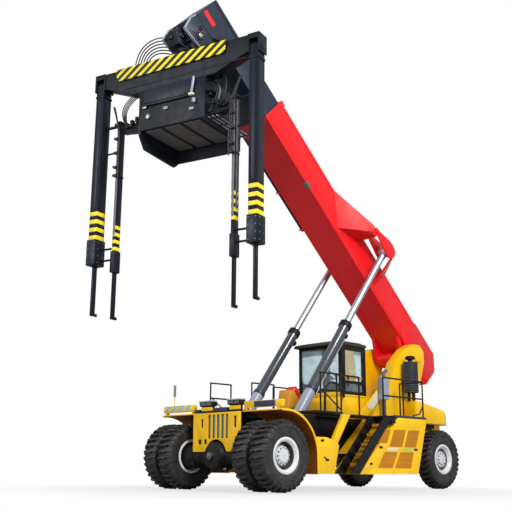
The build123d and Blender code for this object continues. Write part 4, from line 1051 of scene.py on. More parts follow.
def pierced_shield():
    """A guard of rings and upright bars round the cleaner."""
    wire = [(SHIELD_RADIUS, -0.010), (SHIELD_RADIUS + 0.010, -0.010), (SHIELD_RADIUS + 0.010, 0.010),
            (SHIELD_RADIUS, 0.010)]
    pieces = []
    for number in range(SHIELD_RINGS):
        z = SHIELD_LOW + (SHIELD_HIGH - SHIELD_LOW) * number / (SHIELD_RINGS - 1)
        pieces.append(turned_upright(wire, at(CLEANER_X, CLEANER_Y, z)))
    for number in range(SHIELD_BARS):
        angle = 2 * math.pi * number / SHIELD_BARS
        x = CLEANER_X + (SHIELD_RADIUS + 0.005) * math.cos(angle)
        y = CLEANER_Y + (SHIELD_RADIUS + 0.005) * math.sin(angle)
        pieces.append(bar(at(x, y, SHIELD_LOW), at(x, y, SHIELD_HIGH), 0.007, 6))
    return shade(joined(pieces, "shield"), 40)

# %% Set the shield and the rain cap
seat([pierced_shield()], "cleaner_shield", "chassis", GUNMETAL)
cap_outline = [(0.001, 0.0), (0.13, 0.0), (0.15, 0.02), (0.15, 0.06), (0.11, 0.10), (0.001, 0.12)]
rain_cap = turned_upright(cap_outline, at(CLEANER_X, CLEANER_Y, 3.70))
seat([rain_cap], "cleaner_cap", "chassis", BLACK)
print("shield of", SHIELD_RINGS, "rings and", SHIELD_BARS, "bars")

# %% Heat shield of the exhaust
STACK_X, STACK_Y, STACK_HALF = TANK_BACK + 0.65, 1.15, 0.115
heat_shield = block((STACK_X - STACK_HALF, STACK_Y - STACK_HALF, 2.45),
                    (STACK_X + STACK_HALF, STACK_Y + STACK_HALF, 3.08))
seat([heat_shield], "exhaust_shield", "chassis", PALE_STEEL, (0.02, 3))
print("exhaust shielded")

# %% [markdown]
# ## Cab
# The cab is black outside its glass. Its foot is a yellow sill, its roof has a
# rolled olive edge, and an orange bar runs across the door. One wiper sweeps the
# windscreen. The trim is laid on the exact cab as thin blocks, and the bar and the
# pull ride on the door, so that they swing with it.

# %% Sill and gutters of the cab
CAB_FRONT, CAB_BACK, CAB_HALF = -WHEELBASE + 3.38, -WHEELBASE + 2.30, 0.80
CAB_FLOOR, CAB_TOP = 2.50, 3.95
low, high = CAB_FLOOR + 0.002, CAB_FLOOR + 0.12
sills = [block((CAB_FRONT - 0.01, -CAB_HALF - 0.004, low), (CAB_FRONT + 0.008, CAB_HALF + 0.004, high)),
         block((CAB_BACK, CAB_HALF - 0.01, low), (CAB_FRONT, CAB_HALF + 0.008, CAB_FLOOR + 0.052)),
         block((CAB_BACK, -CAB_HALF - 0.008, low), (CAB_FRONT, -CAB_HALF + 0.01, high))]
seat(sills, "cab_sill", "chassis", YELLOW, (0.003, 2))
low, high = CAB_TOP - 0.03, CAB_TOP + 0.035
gutters = [block((CAB_FRONT + 0.168, -CAB_HALF - 0.02, low), (CAB_FRONT + 0.186, CAB_HALF + 0.02, high)),
           block((CAB_BACK - 0.03, CAB_HALF + 0.012, low), (CAB_FRONT + 0.16, CAB_HALF + 0.026, high)),
           block((CAB_BACK - 0.03, -CAB_HALF - 0.026, low), (CAB_FRONT + 0.16, -CAB_HALF - 0.012, high))]
seat(gutters, "cab_gutters", "chassis", OLIVE, (0.006, 2))
print("cab sill and gutters set")

# %% Door bar, door pull and wiper
door_bar = block((-4.52, CAB_HALF + 0.001, 3.015), (-3.76, CAB_HALF + 0.016, 3.060))
seat([door_bar], "door_bar", "door", ORANGE, (0.004, 2))
door_pull = [block((-3.90, CAB_HALF + 0.001, 2.985), (-3.86, CAB_HALF + 0.050, 3.035)),
             block((-3.895, CAB_HALF + 0.036, 2.760), (-3.865, CAB_HALF + 0.052, 3.030))]
seat(door_pull, "door_pull", "door", BLACK, (0.004, 2))
wiper = [bar(at(CAB_FRONT + 0.012, -0.05, 2.655), at(CAB_FRONT + 0.030, 0.28, 3.35), 0.009, 10),
         block((CAB_FRONT + 0.002, 0.265, 3.10), (CAB_FRONT + 0.022, 0.295, 3.60)),
         ball(at(CAB_FRONT + 0.010, -0.05, 2.655), 0.026)]
seat(wiper, "wiper", "chassis", BLACK, (0.003, 1))
print("cab trimmed")

# %% [markdown]
# In front of the cab stand a valve housing painted orange with a red block on its
# slope, and a black pipe that arches from the deck to the cab's foot. The housing
# is cut as one side outline and given its width.

# %% Valve housing
def on_slope(down, y, deep):
    """A place down the back slope of the valve housing, and deep into it."""
    return at(-2.74 - down * 0.66 + deep * 0.76, y, 2.64 - down * 0.76 - deep * 0.66 + 0.06)


housing = upright_plate([(-2.42, 1.932), (-2.56, 2.655), (-2.70, 2.660), (-3.10, 2.190), (-3.10, 1.932)],
                        -0.56, 0.44)
seat([housing], "valve_housing", "chassis", ORANGE, (0.02, 3))
valves = [eased_block(on_slope, (0.02, -0.50, -0.13), (0.42, -0.18, -0.02), 0.015, 2)]
valves += [ball(at(-2.80 - n * 0.09, -0.20 - 0.06 * (n % 2), 2.66 - n * 0.10), 0.055) for n in range(3)]
seat(valves, "valve_block", "chassis", SIGNAL_RED)
print("valve pieces", len(valves))

# %% Arching pipe and deck hoses
pipes = [hose([at(-2.66, 1.05, 1.93), at(-2.66, 1.05, 2.40), at(-2.70, 1.04, 2.66), at(-2.86, 1.02, 2.80),
               at(-3.20, 0.96, 2.83), at(-3.62, 0.88, 2.70), at(-3.66, 0.86, 2.45)], 0.036),
         soften(bar(at(-2.66, 1.05, 1.932), at(-2.66, 1.05, 1.975), 0.062, 20), 0.006, 2)]
pipes += [hose([at(-2.90, -0.30 + 0.07 * n, 1.94), at(-2.70, -0.05 + 0.06 * n, 2.25),
                at(-2.20, 0.20 + 0.05 * n, 2.12), at(-1.90, 0.30 + 0.05 * n, 1.94)], 0.022) for n in range(3)]
seat(pipes, "deck_pipes", "chassis", HOSE)
print("deck pipes", len(pipes))

# %% [markdown]
# ## Lift cylinders
# Each lift cylinder ends in a black gland with a ring of bolts. Its lower part is
# wrapped in a pale sleeve held by a clamp, and an oil pipe runs up its side. The
# sleeve is a true tube, because the rod slides through the barrel inside it.

# %% Places and tubes along the lift cylinder
LIFT_Y, LIFT_FOOT = 0.99, (-1.49, 1.64)
lift_eye = on_boom(3.16, 0, 1.165) - AXLE
lift_run = Vector((lift_eye.x - LIFT_FOOT[0], lift_eye.z - LIFT_FOOT[1])).normalized()


def on_lift(along, y, out=0.0):
    """A place along the left lift cylinder, out metres ahead of its middle line."""
    x = LIFT_FOOT[0] + along * lift_run.x + out * lift_run.y
    z = LIFT_FOOT[1] + along * lift_run.y - out * lift_run.x
    return at(x, y, z)


def tube(start, end, outer, inner):
    """A hollow sleeve between two places, with its outer edges broken."""
    long = (end - start).length
    outline = [(inner, 0), (inner, long), (outer - 0.006, long), (outer, long - 0.006), (outer, 0.006),
               (outer - 0.006, 0)]
    ring = shade(turned(outline, 56), 30)
    turn = (end - start).to_track_quat("Y", "Z").to_matrix().to_4x4()
    moved = copied(ring, Matrix.Translation(start) @ turn)
    bpy.data.objects.remove(ring)
    return moved


print("lift cylinder from foot to eye", round((Vector(LIFT_FOOT) - lift_eye.xz).length, 3), "m")

# %% Gland bolts
GLAND_BOLTS, GLAND_BOLT_CIRCLE = 16, 0.142


def gland_bolts():
    """The ring of bolt heads on the end of the gland."""
    heads = []
    for number in range(GLAND_BOLTS):
        angle = 2 * math.pi * number / GLAND_BOLTS
        y, out = LIFT_Y + GLAND_BOLT_CIRCLE * math.cos(angle), GLAND_BOLT_CIRCLE * math.sin(angle)
        heads.append(bar(on_lift(3.580, y, out), on_lift(3.600, y, out), 0.016, 6))
    return soften(joined(heads, "gland_bolts"), 0.003, 1)

# %% Dress the lift cylinders
sleeve = [tube(on_lift(0.20, LIFT_Y), on_lift(1.12, LIFT_Y), 0.150, 0.146)]
clamp = [tube(on_lift(1.10, LIFT_Y), on_lift(1.20, LIFT_Y), 0.168, 0.146),
         eased_block(on_lift, (1.105, LIFT_Y + 0.14, -0.03), (1.195, LIFT_Y + 0.225, 0.03), 0.006, 2)]
gland = [soften(bar(on_lift(3.415, LIFT_Y), on_lift(3.585, LIFT_Y), 0.178, 56), 0.010, 3), gland_bolts(),
         eased_block(on_lift, (3.20, LIFT_Y - 0.05, -0.235), (3.33, LIFT_Y + 0.05, -0.13), 0.010, 2)]
PIPE_ROUTE = [
    # along, left of the middle line, out
    (3.27, 0.0, -0.20), (3.15, 0.03, -0.185), (2.90, 0.05, -0.160), (1.60, 0.05, -0.160),
    (1.25, 0.05, -0.165), (1.15, 0.05, -0.18),
]
oil_pipe = [hose([on_lift(along, LIFT_Y + side, out) for along, side, out in PIPE_ROUTE], 0.016)]
for along in (1.7, 2.3, 2.85):
    low, high = (along, LIFT_Y + 0.02, -0.182), (along + 0.05, LIFT_Y + 0.08, -0.13)
    oil_pipe.append(eased_block(on_lift, low, high, 0.004, 1))
for name, pieces, paint in (("lift_sleeve", sleeve, PALE_STEEL), ("lift_clamp", clamp, DEEP_BLUE),
                            ("lift_gland", gland, BLACK), ("lift_pipe", oil_pipe, STEEL)):
    both_sides(pieces, name, paint, ("barrel_left", "barrel_right"))
print("bolts in each gland", GLAND_BOLTS)

# %% [markdown]
# ## Boom
# The boom is a welded box. Weld beads run along its sides and its bottom, and
# across the bottom in two pairs. Bolts close the tail, and hoses lie in the tray
# on its far side. A bead is a thin bar with a rounded edge, which throws a line of
# shade as a real weld does.

# %% Tail bolts and fitting of the boom
BOOM_HALF, BOOM_BOTTOM, CHEEK_FACE = 0.55, 0.25, 0.583
tail_spots = [(-1.165 - 0.012 * math.sin(n), 0.24 + n * 0.065) for n in range(8)]
tail_spots += [(-1.10 + n * 0.055, 0.800 + n * 0.055) for n in range(5)]
tail_bolts = [bar(on_boom(u, sign * CHEEK_FACE, v), on_boom(u, sign * (CHEEK_FACE + 0.020), v), 0.017, 6)
              for side, sign in SIDES for u, v in tail_spots]
seat(tail_bolts, "tail_bolts", "boom", STEEL, (0.003, 1))
fitting = [eased_block(on_boom, (6.24, 0.50, 0.16), (6.44, 0.63, 0.262), 0.010, 2)]
fitting += [soften(bar(on_boom(u, 0.565, 0.13), on_boom(u, 0.565, 0.29), 0.022, 16), 0.004, 2)
            for u in (6.28, 6.40)]
seat(fitting, "boom_fitting", "boom", GREY)
print("tail bolts", len(tail_bolts))

# %% Weld beads and tray hoses
beads = []
for u in (2.05, 2.08, 6.28, 6.31):
    beads.append(slanted_block(on_boom, (u, -BOOM_HALF + 0.01, BOOM_BOTTOM - 0.004),
                               (u + 0.012, BOOM_HALF - 0.01, BOOM_BOTTOM + 0.002)))
for y in (-0.44, 0.44):
    beads.append(slanted_block(on_boom, (0.62, y - 0.008, BOOM_BOTTOM - 0.005),
                               (8.40, y + 0.008, BOOM_BOTTOM + 0.002)))
for side, sign in SIDES:
    near, far = sorted((sign * (BOOM_HALF - 0.002), sign * (BOOM_HALF + 0.005)))
    for v in (0.34, 1.05):
        beads.append(slanted_block(on_boom, (0.90, near, v - 0.007), (8.44, far, v + 0.007)))
seat(beads, "weld_beads", "boom", RED, (0.002, 1))
tray_hoses = [hose([on_boom(u, -0.585 - 0.035 * n, v) for u, v in ((4.92, 0.33), (6.0, 0.335), (7.2, 0.328),
                                                                   (8.42, 0.333))], 0.015) for n in range(3)]
seat(tray_hoses, "tray_hoses", "boom", HOSE)
print("weld beads", len(beads), "tray hoses", len(tray_hoses))

# %% [markdown]
# ## Boom head
# The head is blue-grey with a red stripe, a dark trim along its top, and pale worn
# edges on the cheeks that hold the hanger's pin. A keeper plate holds the pin. All
# of them are thin sheets on the left cheek, mirrored to the right one.

# %% Stripe, trim and edges of the head
HEAD_HALF = 0.49
EXTENSION = ("boom_extension", "boom_extension")
HEAD_PLATES = [
    # name, paint, y inside, thickness, edge, and the outlines as (u, v)
    ("head_stripe", SIGNAL_RED, 0, 0.006, (0.002, 1),
     [[(11.890, 0.375), (11.885, 0.525), (11.425, 0.520), (11.425, 0.355)]]),
    ("head_trim", BLACK, 0, 0.008, (0.003, 1),
     [[(11.93, 0.955), (11.93, 0.990), (10.46, 0.990), (10.46, 0.955)]]),
    ("head_lower_trim", BLACK, 0, 0.008, (0.003, 1),
     [[(11.93, 0.075), (11.93, 0.105), (11.12, 0.105), (11.12, 0.075)]]),
    ("head_panel", SLATE, 0, 0.005, (0.003, 2),
     [[(11.28, 0.14), (11.28, 0.46), (11.16, 0.70), (11.08, 0.70), (11.08, 0.24)]]),
    ("cheek_edge", PALE_STEEL, 0.075, 0.080, (0.006, 2),
     [[(11.925, 0.06), (11.960, 0.06), (11.978, -0.14), (11.945, -0.14)],
      [(11.945, -0.14), (11.978, -0.14), (11.858, -0.558), (11.825, -0.545)],
      [(11.825, -0.535), (11.845, -0.562), (11.230, -0.465), (11.240, -0.440)]]),
]
for name, paint, inside, thick, edge, outlines in HEAD_PLATES:
    sheets = [plate([on_boom(u, HEAD_HALF - inside, v) for u, v in outline], Vector((0, thick, 0)))
              for outline in outlines]
    both_sides([soften(joined(sheets, name), *edge)], name, paint, EXTENSION)
print("head plates", len(HEAD_PLATES), "on each side")

# %% Pin keeper, hole cap and rail of the head
PIN_U, PIN_V, KEEPER_BOLT_CIRCLE = 11.45, -0.23, 0.10


def cheek_disc(u, v, start, end, radius, sides, edge):
    """A round piece on the left cheek, from one distance off it to another."""
    disc = bar(on_boom(u, HEAD_HALF + start, v), on_boom(u, HEAD_HALF + end, v), radius, sides)
    return soften(disc, edge, 2) if edge else disc


keeper = cheek_disc(PIN_U, PIN_V, 0, 0.030, 0.135, 40, 0.008)
both_sides([keeper], "pin_keeper", BLACK, EXTENSION)
bolts = []
for number in range(6):
    angle = number * math.pi / 3
    u, v = PIN_U + KEEPER_BOLT_CIRCLE * math.cos(angle), PIN_V + KEEPER_BOLT_CIRCLE * math.sin(angle)
    bolts.append(cheek_disc(u, v, 0.02, 0.045, 0.014, 6, 0))
pin_cap = cheek_disc(PIN_U, PIN_V, 0.02, 0.050, 0.065, 32, 0.006)
both_sides([pin_cap, soften(joined(bolts, "bolts"), 0.003, 1)], "pin_keeper_bolts", STEEL,
           EXTENSION)
hole_cap = cheek_disc(11.60, -0.06, 0, 0.014, 0.075, 32, 0.005)
both_sides([hole_cap], "cheek_hole_cap", BLACK, EXTENSION)
knobs = [eased_block(on_boom, (u, 0.28, 1.06), (u + 0.10, 0.40, 1.15), 0.012, 2) for u in (11.35, 11.58)]
knobs.append(eased_block(on_boom, (11.08, 0.30, 1.065), (11.80, 0.36, 1.085), 0.004, 1))
seat(knobs, "head_rail", "boom_extension", BLACK)
print("keeper bolts", len(bolts), "on each side")

# %% [markdown]
# ## Hanger
# The hanger is crowded with hydraulic motors and valve blocks that turn and tilt
# the spreader. They are black castings with bolted covers, made as short bars and
# blocks, and they ride on the hanger.

# %% Motors on the hanger's nose
HANGER_MOTORS = [
    # y, x, z, radius, height
    (-0.17, 0.42, -0.02, 0.075, 0.20), (0.10, 0.46, 0.02, 0.085, 0.17), (0.17, 0.33, -0.16, 0.06, 0.22),
]
VALVE_BLOCKS = [
    # low corner, high corner
    ((0.24, -0.27, -0.18), (0.50, -0.21, 0.06)), ((0.26, 0.21, -0.12), (0.52, 0.28, 0.08)),
    ((0.52, -0.10, -0.12), (0.60, 0.02, 0.02)),
]


def on_hanger(x, y, z):
    """A place from the hanger's pin, x ahead and z above."""
    return HANGER + Vector((x, y, z))


motors = []
for y, x, z, radius, height in HANGER_MOTORS:
    motor = bar(on_hanger(x, y, z), on_hanger(x + 0.05, y, z + height), radius, 28)
    motors.append(soften(motor, 0.012, 3))
    cover = bar(on_hanger(x + 0.045, y, z + height - 0.02), on_hanger(x + 0.055, y, z + height + 0.02),
                radius * 0.7, 6)
    motors.append(soften(cover, 0.006, 2))
motors += [soften(block(low, high, on_hanger), 0.014, 2) for low, high in VALVE_BLOCKS]
seat(motors, "hanger_motors", "hanger", BLACK)
fittings = []
for number in range(5):
    x, z = 0.26 + 0.05 * number, -0.10 + 0.045 * (number % 3)
    fittings.append(bar(on_hanger(x, 0.285, z), on_hanger(x, 0.315, z), 0.014, 6))
seat(fittings, "hanger_fittings", "hanger", STEEL, (0.003, 1))
print("hanger motors", len(HANGER_MOTORS), "valve blocks", len(VALVE_BLOCKS))

# %% [markdown]
# ## Spreader
# The beam, the box under it and the four legs are blue-black steel. Yellow bands
# warn where the legs come down. The front of the box has a bolted navy panel, a
# round lamp, latches and a pale pipe, and guide rails run along its sides. Most
# places here are given by how far they lie under the top of the beam.

# %% Box panel, slot and rail
BEAM_TOP = HANGER.z - 0.645


def on_beam(p, q, down):
    """A place on the spreader, this far under the top of its beam."""
    return on_spreader(p, q, BEAM_TOP - down)


def on_the_spreader(pieces, name, paint, edge=None):
    """Seat joined pieces on the spreader's own body."""
    return seat(pieces, name, "spreader", paint, edge)


box_panel = slanted_block(on_beam, (0.234, -0.855, 1.215), (0.242, 0.695, 0.815))
on_the_spreader([box_panel], "box_panel", NAVY, (0.003, 2))
panel_bolts = [bar(on_beam(0.240, -0.82 + n * 0.185, down), on_beam(0.254, -0.82 + n * 0.185, down), 0.014, 6)
               for n in range(9) for down in (1.185, 0.845)]
on_the_spreader(panel_bolts, "panel_bolts", BLACK, (0.003, 1))
panel_slot = slanted_block(on_beam, (0.236, -0.14, 0.948), (0.247, 0.38, 0.902))
on_the_spreader([panel_slot], "panel_slot", BLACK, (0.003, 1))
box_rail = slanted_block(on_beam, (0.270, -0.88, 1.300), (0.282, 0.54, 1.252))
on_the_spreader([box_rail], "box_rail", NAVY, (0.004, 2))
print("beam top at", round(BEAM_TOP, 3), "panel bolts", len(panel_bolts))

# %% Lamp, latches, pipe and clamp on the box
LAMP_Q, LAMP_Z, LAMP_RADIUS = -0.70, 9.375, 0.065
on_the_spreader([bar(on_spreader(0.20, LAMP_Q, LAMP_Z), on_spreader(0.262, LAMP_Q, LAMP_Z), LAMP_RADIUS, 28)],
                "box_lamp", STEEL, (0.008, 2))
lens = bar(on_spreader(0.255, LAMP_Q, LAMP_Z), on_spreader(0.272, LAMP_Q, LAMP_Z), LAMP_RADIUS * 0.72, 28)
on_the_spreader([lens], "box_lamp_lens", LAMP_LENS, (0.006, 2))
# latches and their knobs by q and height above the ground
LATCHES = [(-0.20, 9.46), (0.60, 9.28), (-0.88, 9.62)]
KNOBS = [(-0.165, 9.50), (-0.10, 9.50), (0.635, 9.32)]
latches = [eased_block(on_spreader, (0.20, q, z), (0.262, q + 0.13, z + 0.075), 0.012, 2) for q, z in LATCHES]
latches += [soften(bar(on_spreader(0.262, q, z), on_spreader(0.285, q, z), 0.020, 16), 0.004, 1)
            for q, z in KNOBS]
on_the_spreader(latches, "box_latches", STEEL)
box_pipe = [soften(bar(on_beam(0.262, 0.66, 1.23), on_beam(0.262, 0.72, 0.80), 0.034, 24), 0.006, 2),
            soften(bar(on_beam(0.262, 0.735, 1.52), on_beam(0.262, 0.735, 1.40), 0.05, 24), 0.008, 2)]
on_the_spreader(box_pipe, "box_pipe", PALE_STEEL)
box_clamp = slanted_block(on_beam, (0.205, 0.585, 1.300), (0.300, 0.720, 1.235))
on_the_spreader([box_clamp], "box_clamp", CREAM, (0.012, 2))
print("latches", len(LATCHES))

# %% Guide rails and stiffeners of the box
BOX_HALF, BOX_FRONT, BOX_BACK = 1.03, 0.200, -1.560
edges = []
for q in (-BOX_HALF - 0.004, BOX_HALF - 0.010):
    edges.append(slanted_block(on_beam, (BOX_BACK + 0.54, q, 0.850), (BOX_FRONT - 0.02, q + 0.014, 0.825)))
    edges.append(slanted_block(on_beam, (BOX_BACK + 0.02, q, 1.955), (BOX_FRONT - 0.02, q + 0.014, 1.930)))
    for p in (-1.30, -0.80, -0.30):
        edges.append(slanted_block(on_beam, (p - 0.015, q, 1.93), (p + 0.015, q + 0.014, 1.34)))
for number in range(15):
    q = -0.98 + number * 0.14
    edges.append(bar(on_beam(0.196, q, 1.90), on_beam(0.212, q, 1.90), 0.013, 6))
on_the_spreader(edges, "box_edges", NAVY, (0.003, 1))
print("box edges", len(edges))

# %% [markdown]
# Hydraulic lines run fore and aft in a rack along the left side of the box, every
# second one pale and the others black. Straps hold them, and three hoses come down
# to them from the top of the box.

# %% Rack of lines beside the box
RACK_HEIGHT, RACK_Q, RACK_PITCH = 9.075, 1.055, 0.062
SHELF_LOW = 9.045
rack_lines = []
for number in range(6):
    q = RACK_Q + RACK_PITCH * number
    rack_lines.append(bar(on_spreader(-1.55, q, RACK_HEIGHT), on_spreader(0.05, q, RACK_HEIGHT), 0.016, 16))
straps = []
for outer, top in ((1.40, 9.058), (1.045, 9.20)):
    straps += [eased_block(on_spreader, (p, 1.02, SHELF_LOW), (p + 0.05, outer, top), 0.003, 1)
               for p in (-1.45, -1.0, -0.55, -0.1)]
on_the_spreader([shade(line, 40) for line in rack_lines[0::2]], "rack_lines_pale", PALE_STEEL)
on_the_spreader([shade(line, 40) for line in rack_lines[1::2]] + straps, "rack_lines_dark", BLACK)
print("rack lines", len(rack_lines), "straps", len(straps))

# %% Hoses down to the rack
side_hoses = [hose([on_spreader(-0.30 + 0.09 * n, 1.05, 10.12),
                    on_spreader(-0.24 + 0.09 * n, 1.22 + 0.03 * n, 10.00),
                    on_spreader(-0.16 + 0.09 * n, 1.24 + 0.02 * n, 9.68),
                    on_spreader(-0.10 + 0.07 * n, 1.20, 9.38),
                    on_spreader(0.0 + 0.05 * n, 1.08, 9.20)], 0.017) for n in range(3)]
on_the_spreader(side_hoses[:1], "side_hoses_pale", PALE_STEEL)
on_the_spreader(side_hoses[1:], "side_hoses_dark", HOSE)
print("side hoses", len(side_hoses))

# %% [markdown]
# ## Legs
# Four yellow bands mark each leg above its shoe. The shoes are bolted castings,
# and collars and guides hold the legs. The bands are thin sleeves round the leg, so
# that they have an edge, as tape or a painted plate has.

# %% Hazard bands
LEG_Q, SLIM_Q, SLIM_P = 2.42, 1.80, -0.06
BANDS_PER_LEG = 4
LEG_BANDS = [
    # leg, its body, its middle q and p, half width, half depth, lowest band, pitch, height
    ("leg_left", "legs_left", LEG_Q, 0.0, 0.125, 0.160, 6.308, 0.215, 0.112),
    ("leg_right", "legs_right", -LEG_Q, 0.0, 0.125, 0.160, 6.308, 0.215, 0.112),
    ("slim_left", "legs_left", SLIM_Q, SLIM_P, 0.045, 0.100, 6.29, 0.205, 0.105),
    ("slim_right", "legs_right", -SLIM_Q, SLIM_P, 0.045, 0.100, 5.97, 0.190, 0.095),
]
for name, body, q, p, half_q, half_p, lowest, pitch, height in LEG_BANDS:
    bands = []
    for number in range(BANDS_PER_LEG):
        z = lowest + number * pitch
        bands.append(slanted_block(on_spreader, (p - half_p - 0.003, q - half_q - 0.003, z),
                                   (p + half_p + 0.003, q + half_q + 0.003, z + height)))
    seat(bands, f"{name}_bands", body, HAZARD_YELLOW, (0.005, 2))
print("bands on", len(LEG_BANDS), "legs")

# %% Shoe bolts and wear strips
for side, sign in SIDES:
    legs, q = f"legs_{side}", sign * LEG_Q
    bolts = []
    for down in (5.28, 5.10, 4.92, 4.74):
        for off in (-0.10, 0.10):
            bolts.append(bar(on_beam(0.186, q + off, down), on_beam(0.206, q + off, down), 0.020, 6))
            bolts.append(bar(on_beam(off, q + 0.146, down), on_beam(off, q + 0.166, down), 0.020, 6))
            bolts.append(bar(on_beam(off, q - 0.166, down), on_beam(off, q - 0.146, down), 0.020, 6))
    seat(bolts, f"shoe_bolts_{side}", legs, GREY, (0.004, 1))
    strips = [slanted_block(on_beam, (0.158, q - 0.05, 3.80), (0.168, q + 0.05, 0.70)),
              slanted_block(on_beam, (0.183, q - 0.13, 5.34), (0.196, q + 0.13, 4.70)),
              slanted_block(on_beam, (0.063, q - 0.022, 6.58), (0.070, q + 0.022, 5.36))]
    seat(strips, f"leg_strips_{side}", legs, NAVY, (0.006, 2))
print("bolts in each shoe", len(bolts))

# %% Collars and guides of the legs
for side, sign in SIDES:
    legs, q, slim = f"legs_{side}", sign * LEG_Q, sign * SLIM_Q
    collars = [eased_block(on_beam, (-0.178, q - 0.143, 0.66), (0.178, q + 0.143, 0.60), 0.010, 2)]
    for low, high in ((1.50, 1.43), (3.00, 2.94)):
        collars.append(eased_block(on_beam, (SLIM_P - 0.112, slim - 0.057, low),
                                   (SLIM_P + 0.112, slim + 0.057, high), 0.008, 2))
    seat(collars, f"leg_collars_{side}", legs, BLUE_BLACK)
    near, far = sorted((slim + sign * 0.046, slim + sign * 0.050))
    guides = [slanted_block(on_beam, (SLIM_P - 0.03, near, 4.4), (SLIM_P + 0.05, far, 1.55)),
              slanted_block(on_beam, (SLIM_P + 0.099, slim - 0.030, 4.60),
                            (SLIM_P + 0.106, slim + 0.030, 1.55))]
    seat(guides, f"slim_guides_{side}", legs, GREY, (0.002, 1))
print("collars on each side", len(collars))

# %% [markdown]
# The clamp arms are worked by short cylinders and fed by loose hoses. The hoses
# hang from the beam, swing past the arm's end and run down the slim legs, where
# clips hold them. The points of a route are listed, and each hose of a bundle
# takes them a little beside the last one.

# %% Clamp cylinders
for side, sign in SIDES:
    start, end = on_beam(-0.30, sign * 1.15, 1.42), on_beam(-0.12, sign * 1.62, 1.60)
    gear = [soften(bar(start, start.lerp(end, 0.66), 0.055, 28), 0.008, 2),
            shade(bar(start.lerp(end, 0.6), end, 0.028, 20), 40)]
    for q, down in ((1.20, 1.50), (1.36, 1.56), (1.52, 1.62)):
        q *= sign
        low, high = (-0.02, q - 0.045, down + 0.07), (0.09, q + 0.045, down - 0.07)
        gear.append(eased_block(on_beam, low, high, 0.012, 2))
        gear.append(soften(bar(on_beam(0.085, q, down), on_beam(0.115, q, down), 0.022, 16), 0.004, 1))
    for p, q, down in ((-0.12, 1.30, 1.42), (-0.05, 1.45, 1.50), (-0.16, 1.60, 1.58)):
        gear.append(ball(on_beam(p, sign * q, down), 0.042))
    on_the_spreader(gear, f"clamp_gear_{side}", BLACK)
print("clamp gear pieces", len(gear), "on each side")

# %% Loose hoses at the clamps
for side, sign in SIDES:
    loops = []
    for number in range(4):
        swing = 0.03 * number
        loops.append(hose([on_beam(-0.10 + swing, sign * (1.30 + 0.05 * number), 0.78),
                           on_beam(0.02 + swing, sign * (1.52 + 0.04 * number), 1.00),
                           on_beam(0.10 + swing, sign * (1.60 + 0.02 * number), 1.35 + swing),
                           on_beam(0.04 + swing, sign * (1.50 - 0.03 * number), 1.70 + swing),
                           on_beam(-0.05, sign * (1.36 - 0.05 * number), 1.60)], 0.015))
    on_the_spreader(loops, f"clamp_hoses_{side}", HOSE)
print("loose hoses", len(loops), "on each side")

# %% Hoses down the slim legs
for side, sign in SIDES:
    run = []
    for number in range(3):
        p = SLIM_P + 0.125 + 0.028 * number
        q = sign * (SLIM_Q - 0.02 - 0.035 * number)
        run.append(hose([on_beam(p - 0.05, sign * (SLIM_Q + 0.20), 0.98),
                         on_beam(p, sign * (SLIM_Q + 0.06), 1.30), on_beam(p + 0.02, q, 1.75),
                         on_beam(p - 0.01, q + sign * 0.03, 2.15), on_beam(p + 0.03, q - sign * 0.02, 2.55),
                         on_beam(p, q, 2.95 + 0.06 * number)], 0.015))
    slim = sign * SLIM_Q
    for down in (1.55, 1.95, 2.35, 2.75, 2.98):
        run.append(eased_block(on_beam, (SLIM_P + 0.095, slim - 0.075, down + 0.03),
                               (SLIM_P + 0.215, slim + 0.045, down - 0.03), 0.010, 2))
    seat(run, f"slim_hoses_{side}", f"legs_{side}", HOSE)
print("hoses and clips down each slim leg", len(run))

# %% [markdown]
# Six hoses carry oil from the hanger down to the beam. They leave the hanger
# nearly level, arch over and drop behind the striped plate, with some slack for
# the spreader to turn. Each hose lies a little lower than the one before it.

# %% Six arching hoses
ARCH_COUNT, ARCH_FOOT_Q, ARCH_PITCH = 6, -1.44, 0.085
arches, boots = [], []
for number in range(ARCH_COUNT):
    drop = 0.095 * number
    foot_q = ARCH_FOOT_Q + ARCH_PITCH * number
    arches.append(hose([on_beam(-0.06, foot_q, 0.01),
                        on_beam(-0.08, -1.43 + 0.088 * number, -0.42 + drop * 0.35),
                        on_beam(-0.14, -1.22 + 0.080 * number, -0.86 + drop * 0.95),
                        on_beam(-0.24, -0.72 + 0.020 * number, -0.95 + drop * 1.10),
                        on_beam(-0.30, -0.36, -0.80 + drop)], 0.017))
    boot = bar(on_beam(-0.06, foot_q, 0.005), on_beam(-0.06, foot_q, -0.07), 0.030, 20)
    boots.append(soften(boot, 0.006, 2))
on_the_spreader(arches, "arching_hoses", HOSE)
boots.append(eased_block(on_beam, (-0.11, -1.50, 0.002), (-0.01, -0.96, -0.025), 0.006, 2))
on_the_spreader(boots, "hose_boots", BLACK)
print("arching hoses", len(arches))

# %% [markdown]
# Each end of the beam is closed by a bolted cap with a round boss, and two folded
# rims stiffen its front. A cap is a boss, bolt heads and a cover strip.

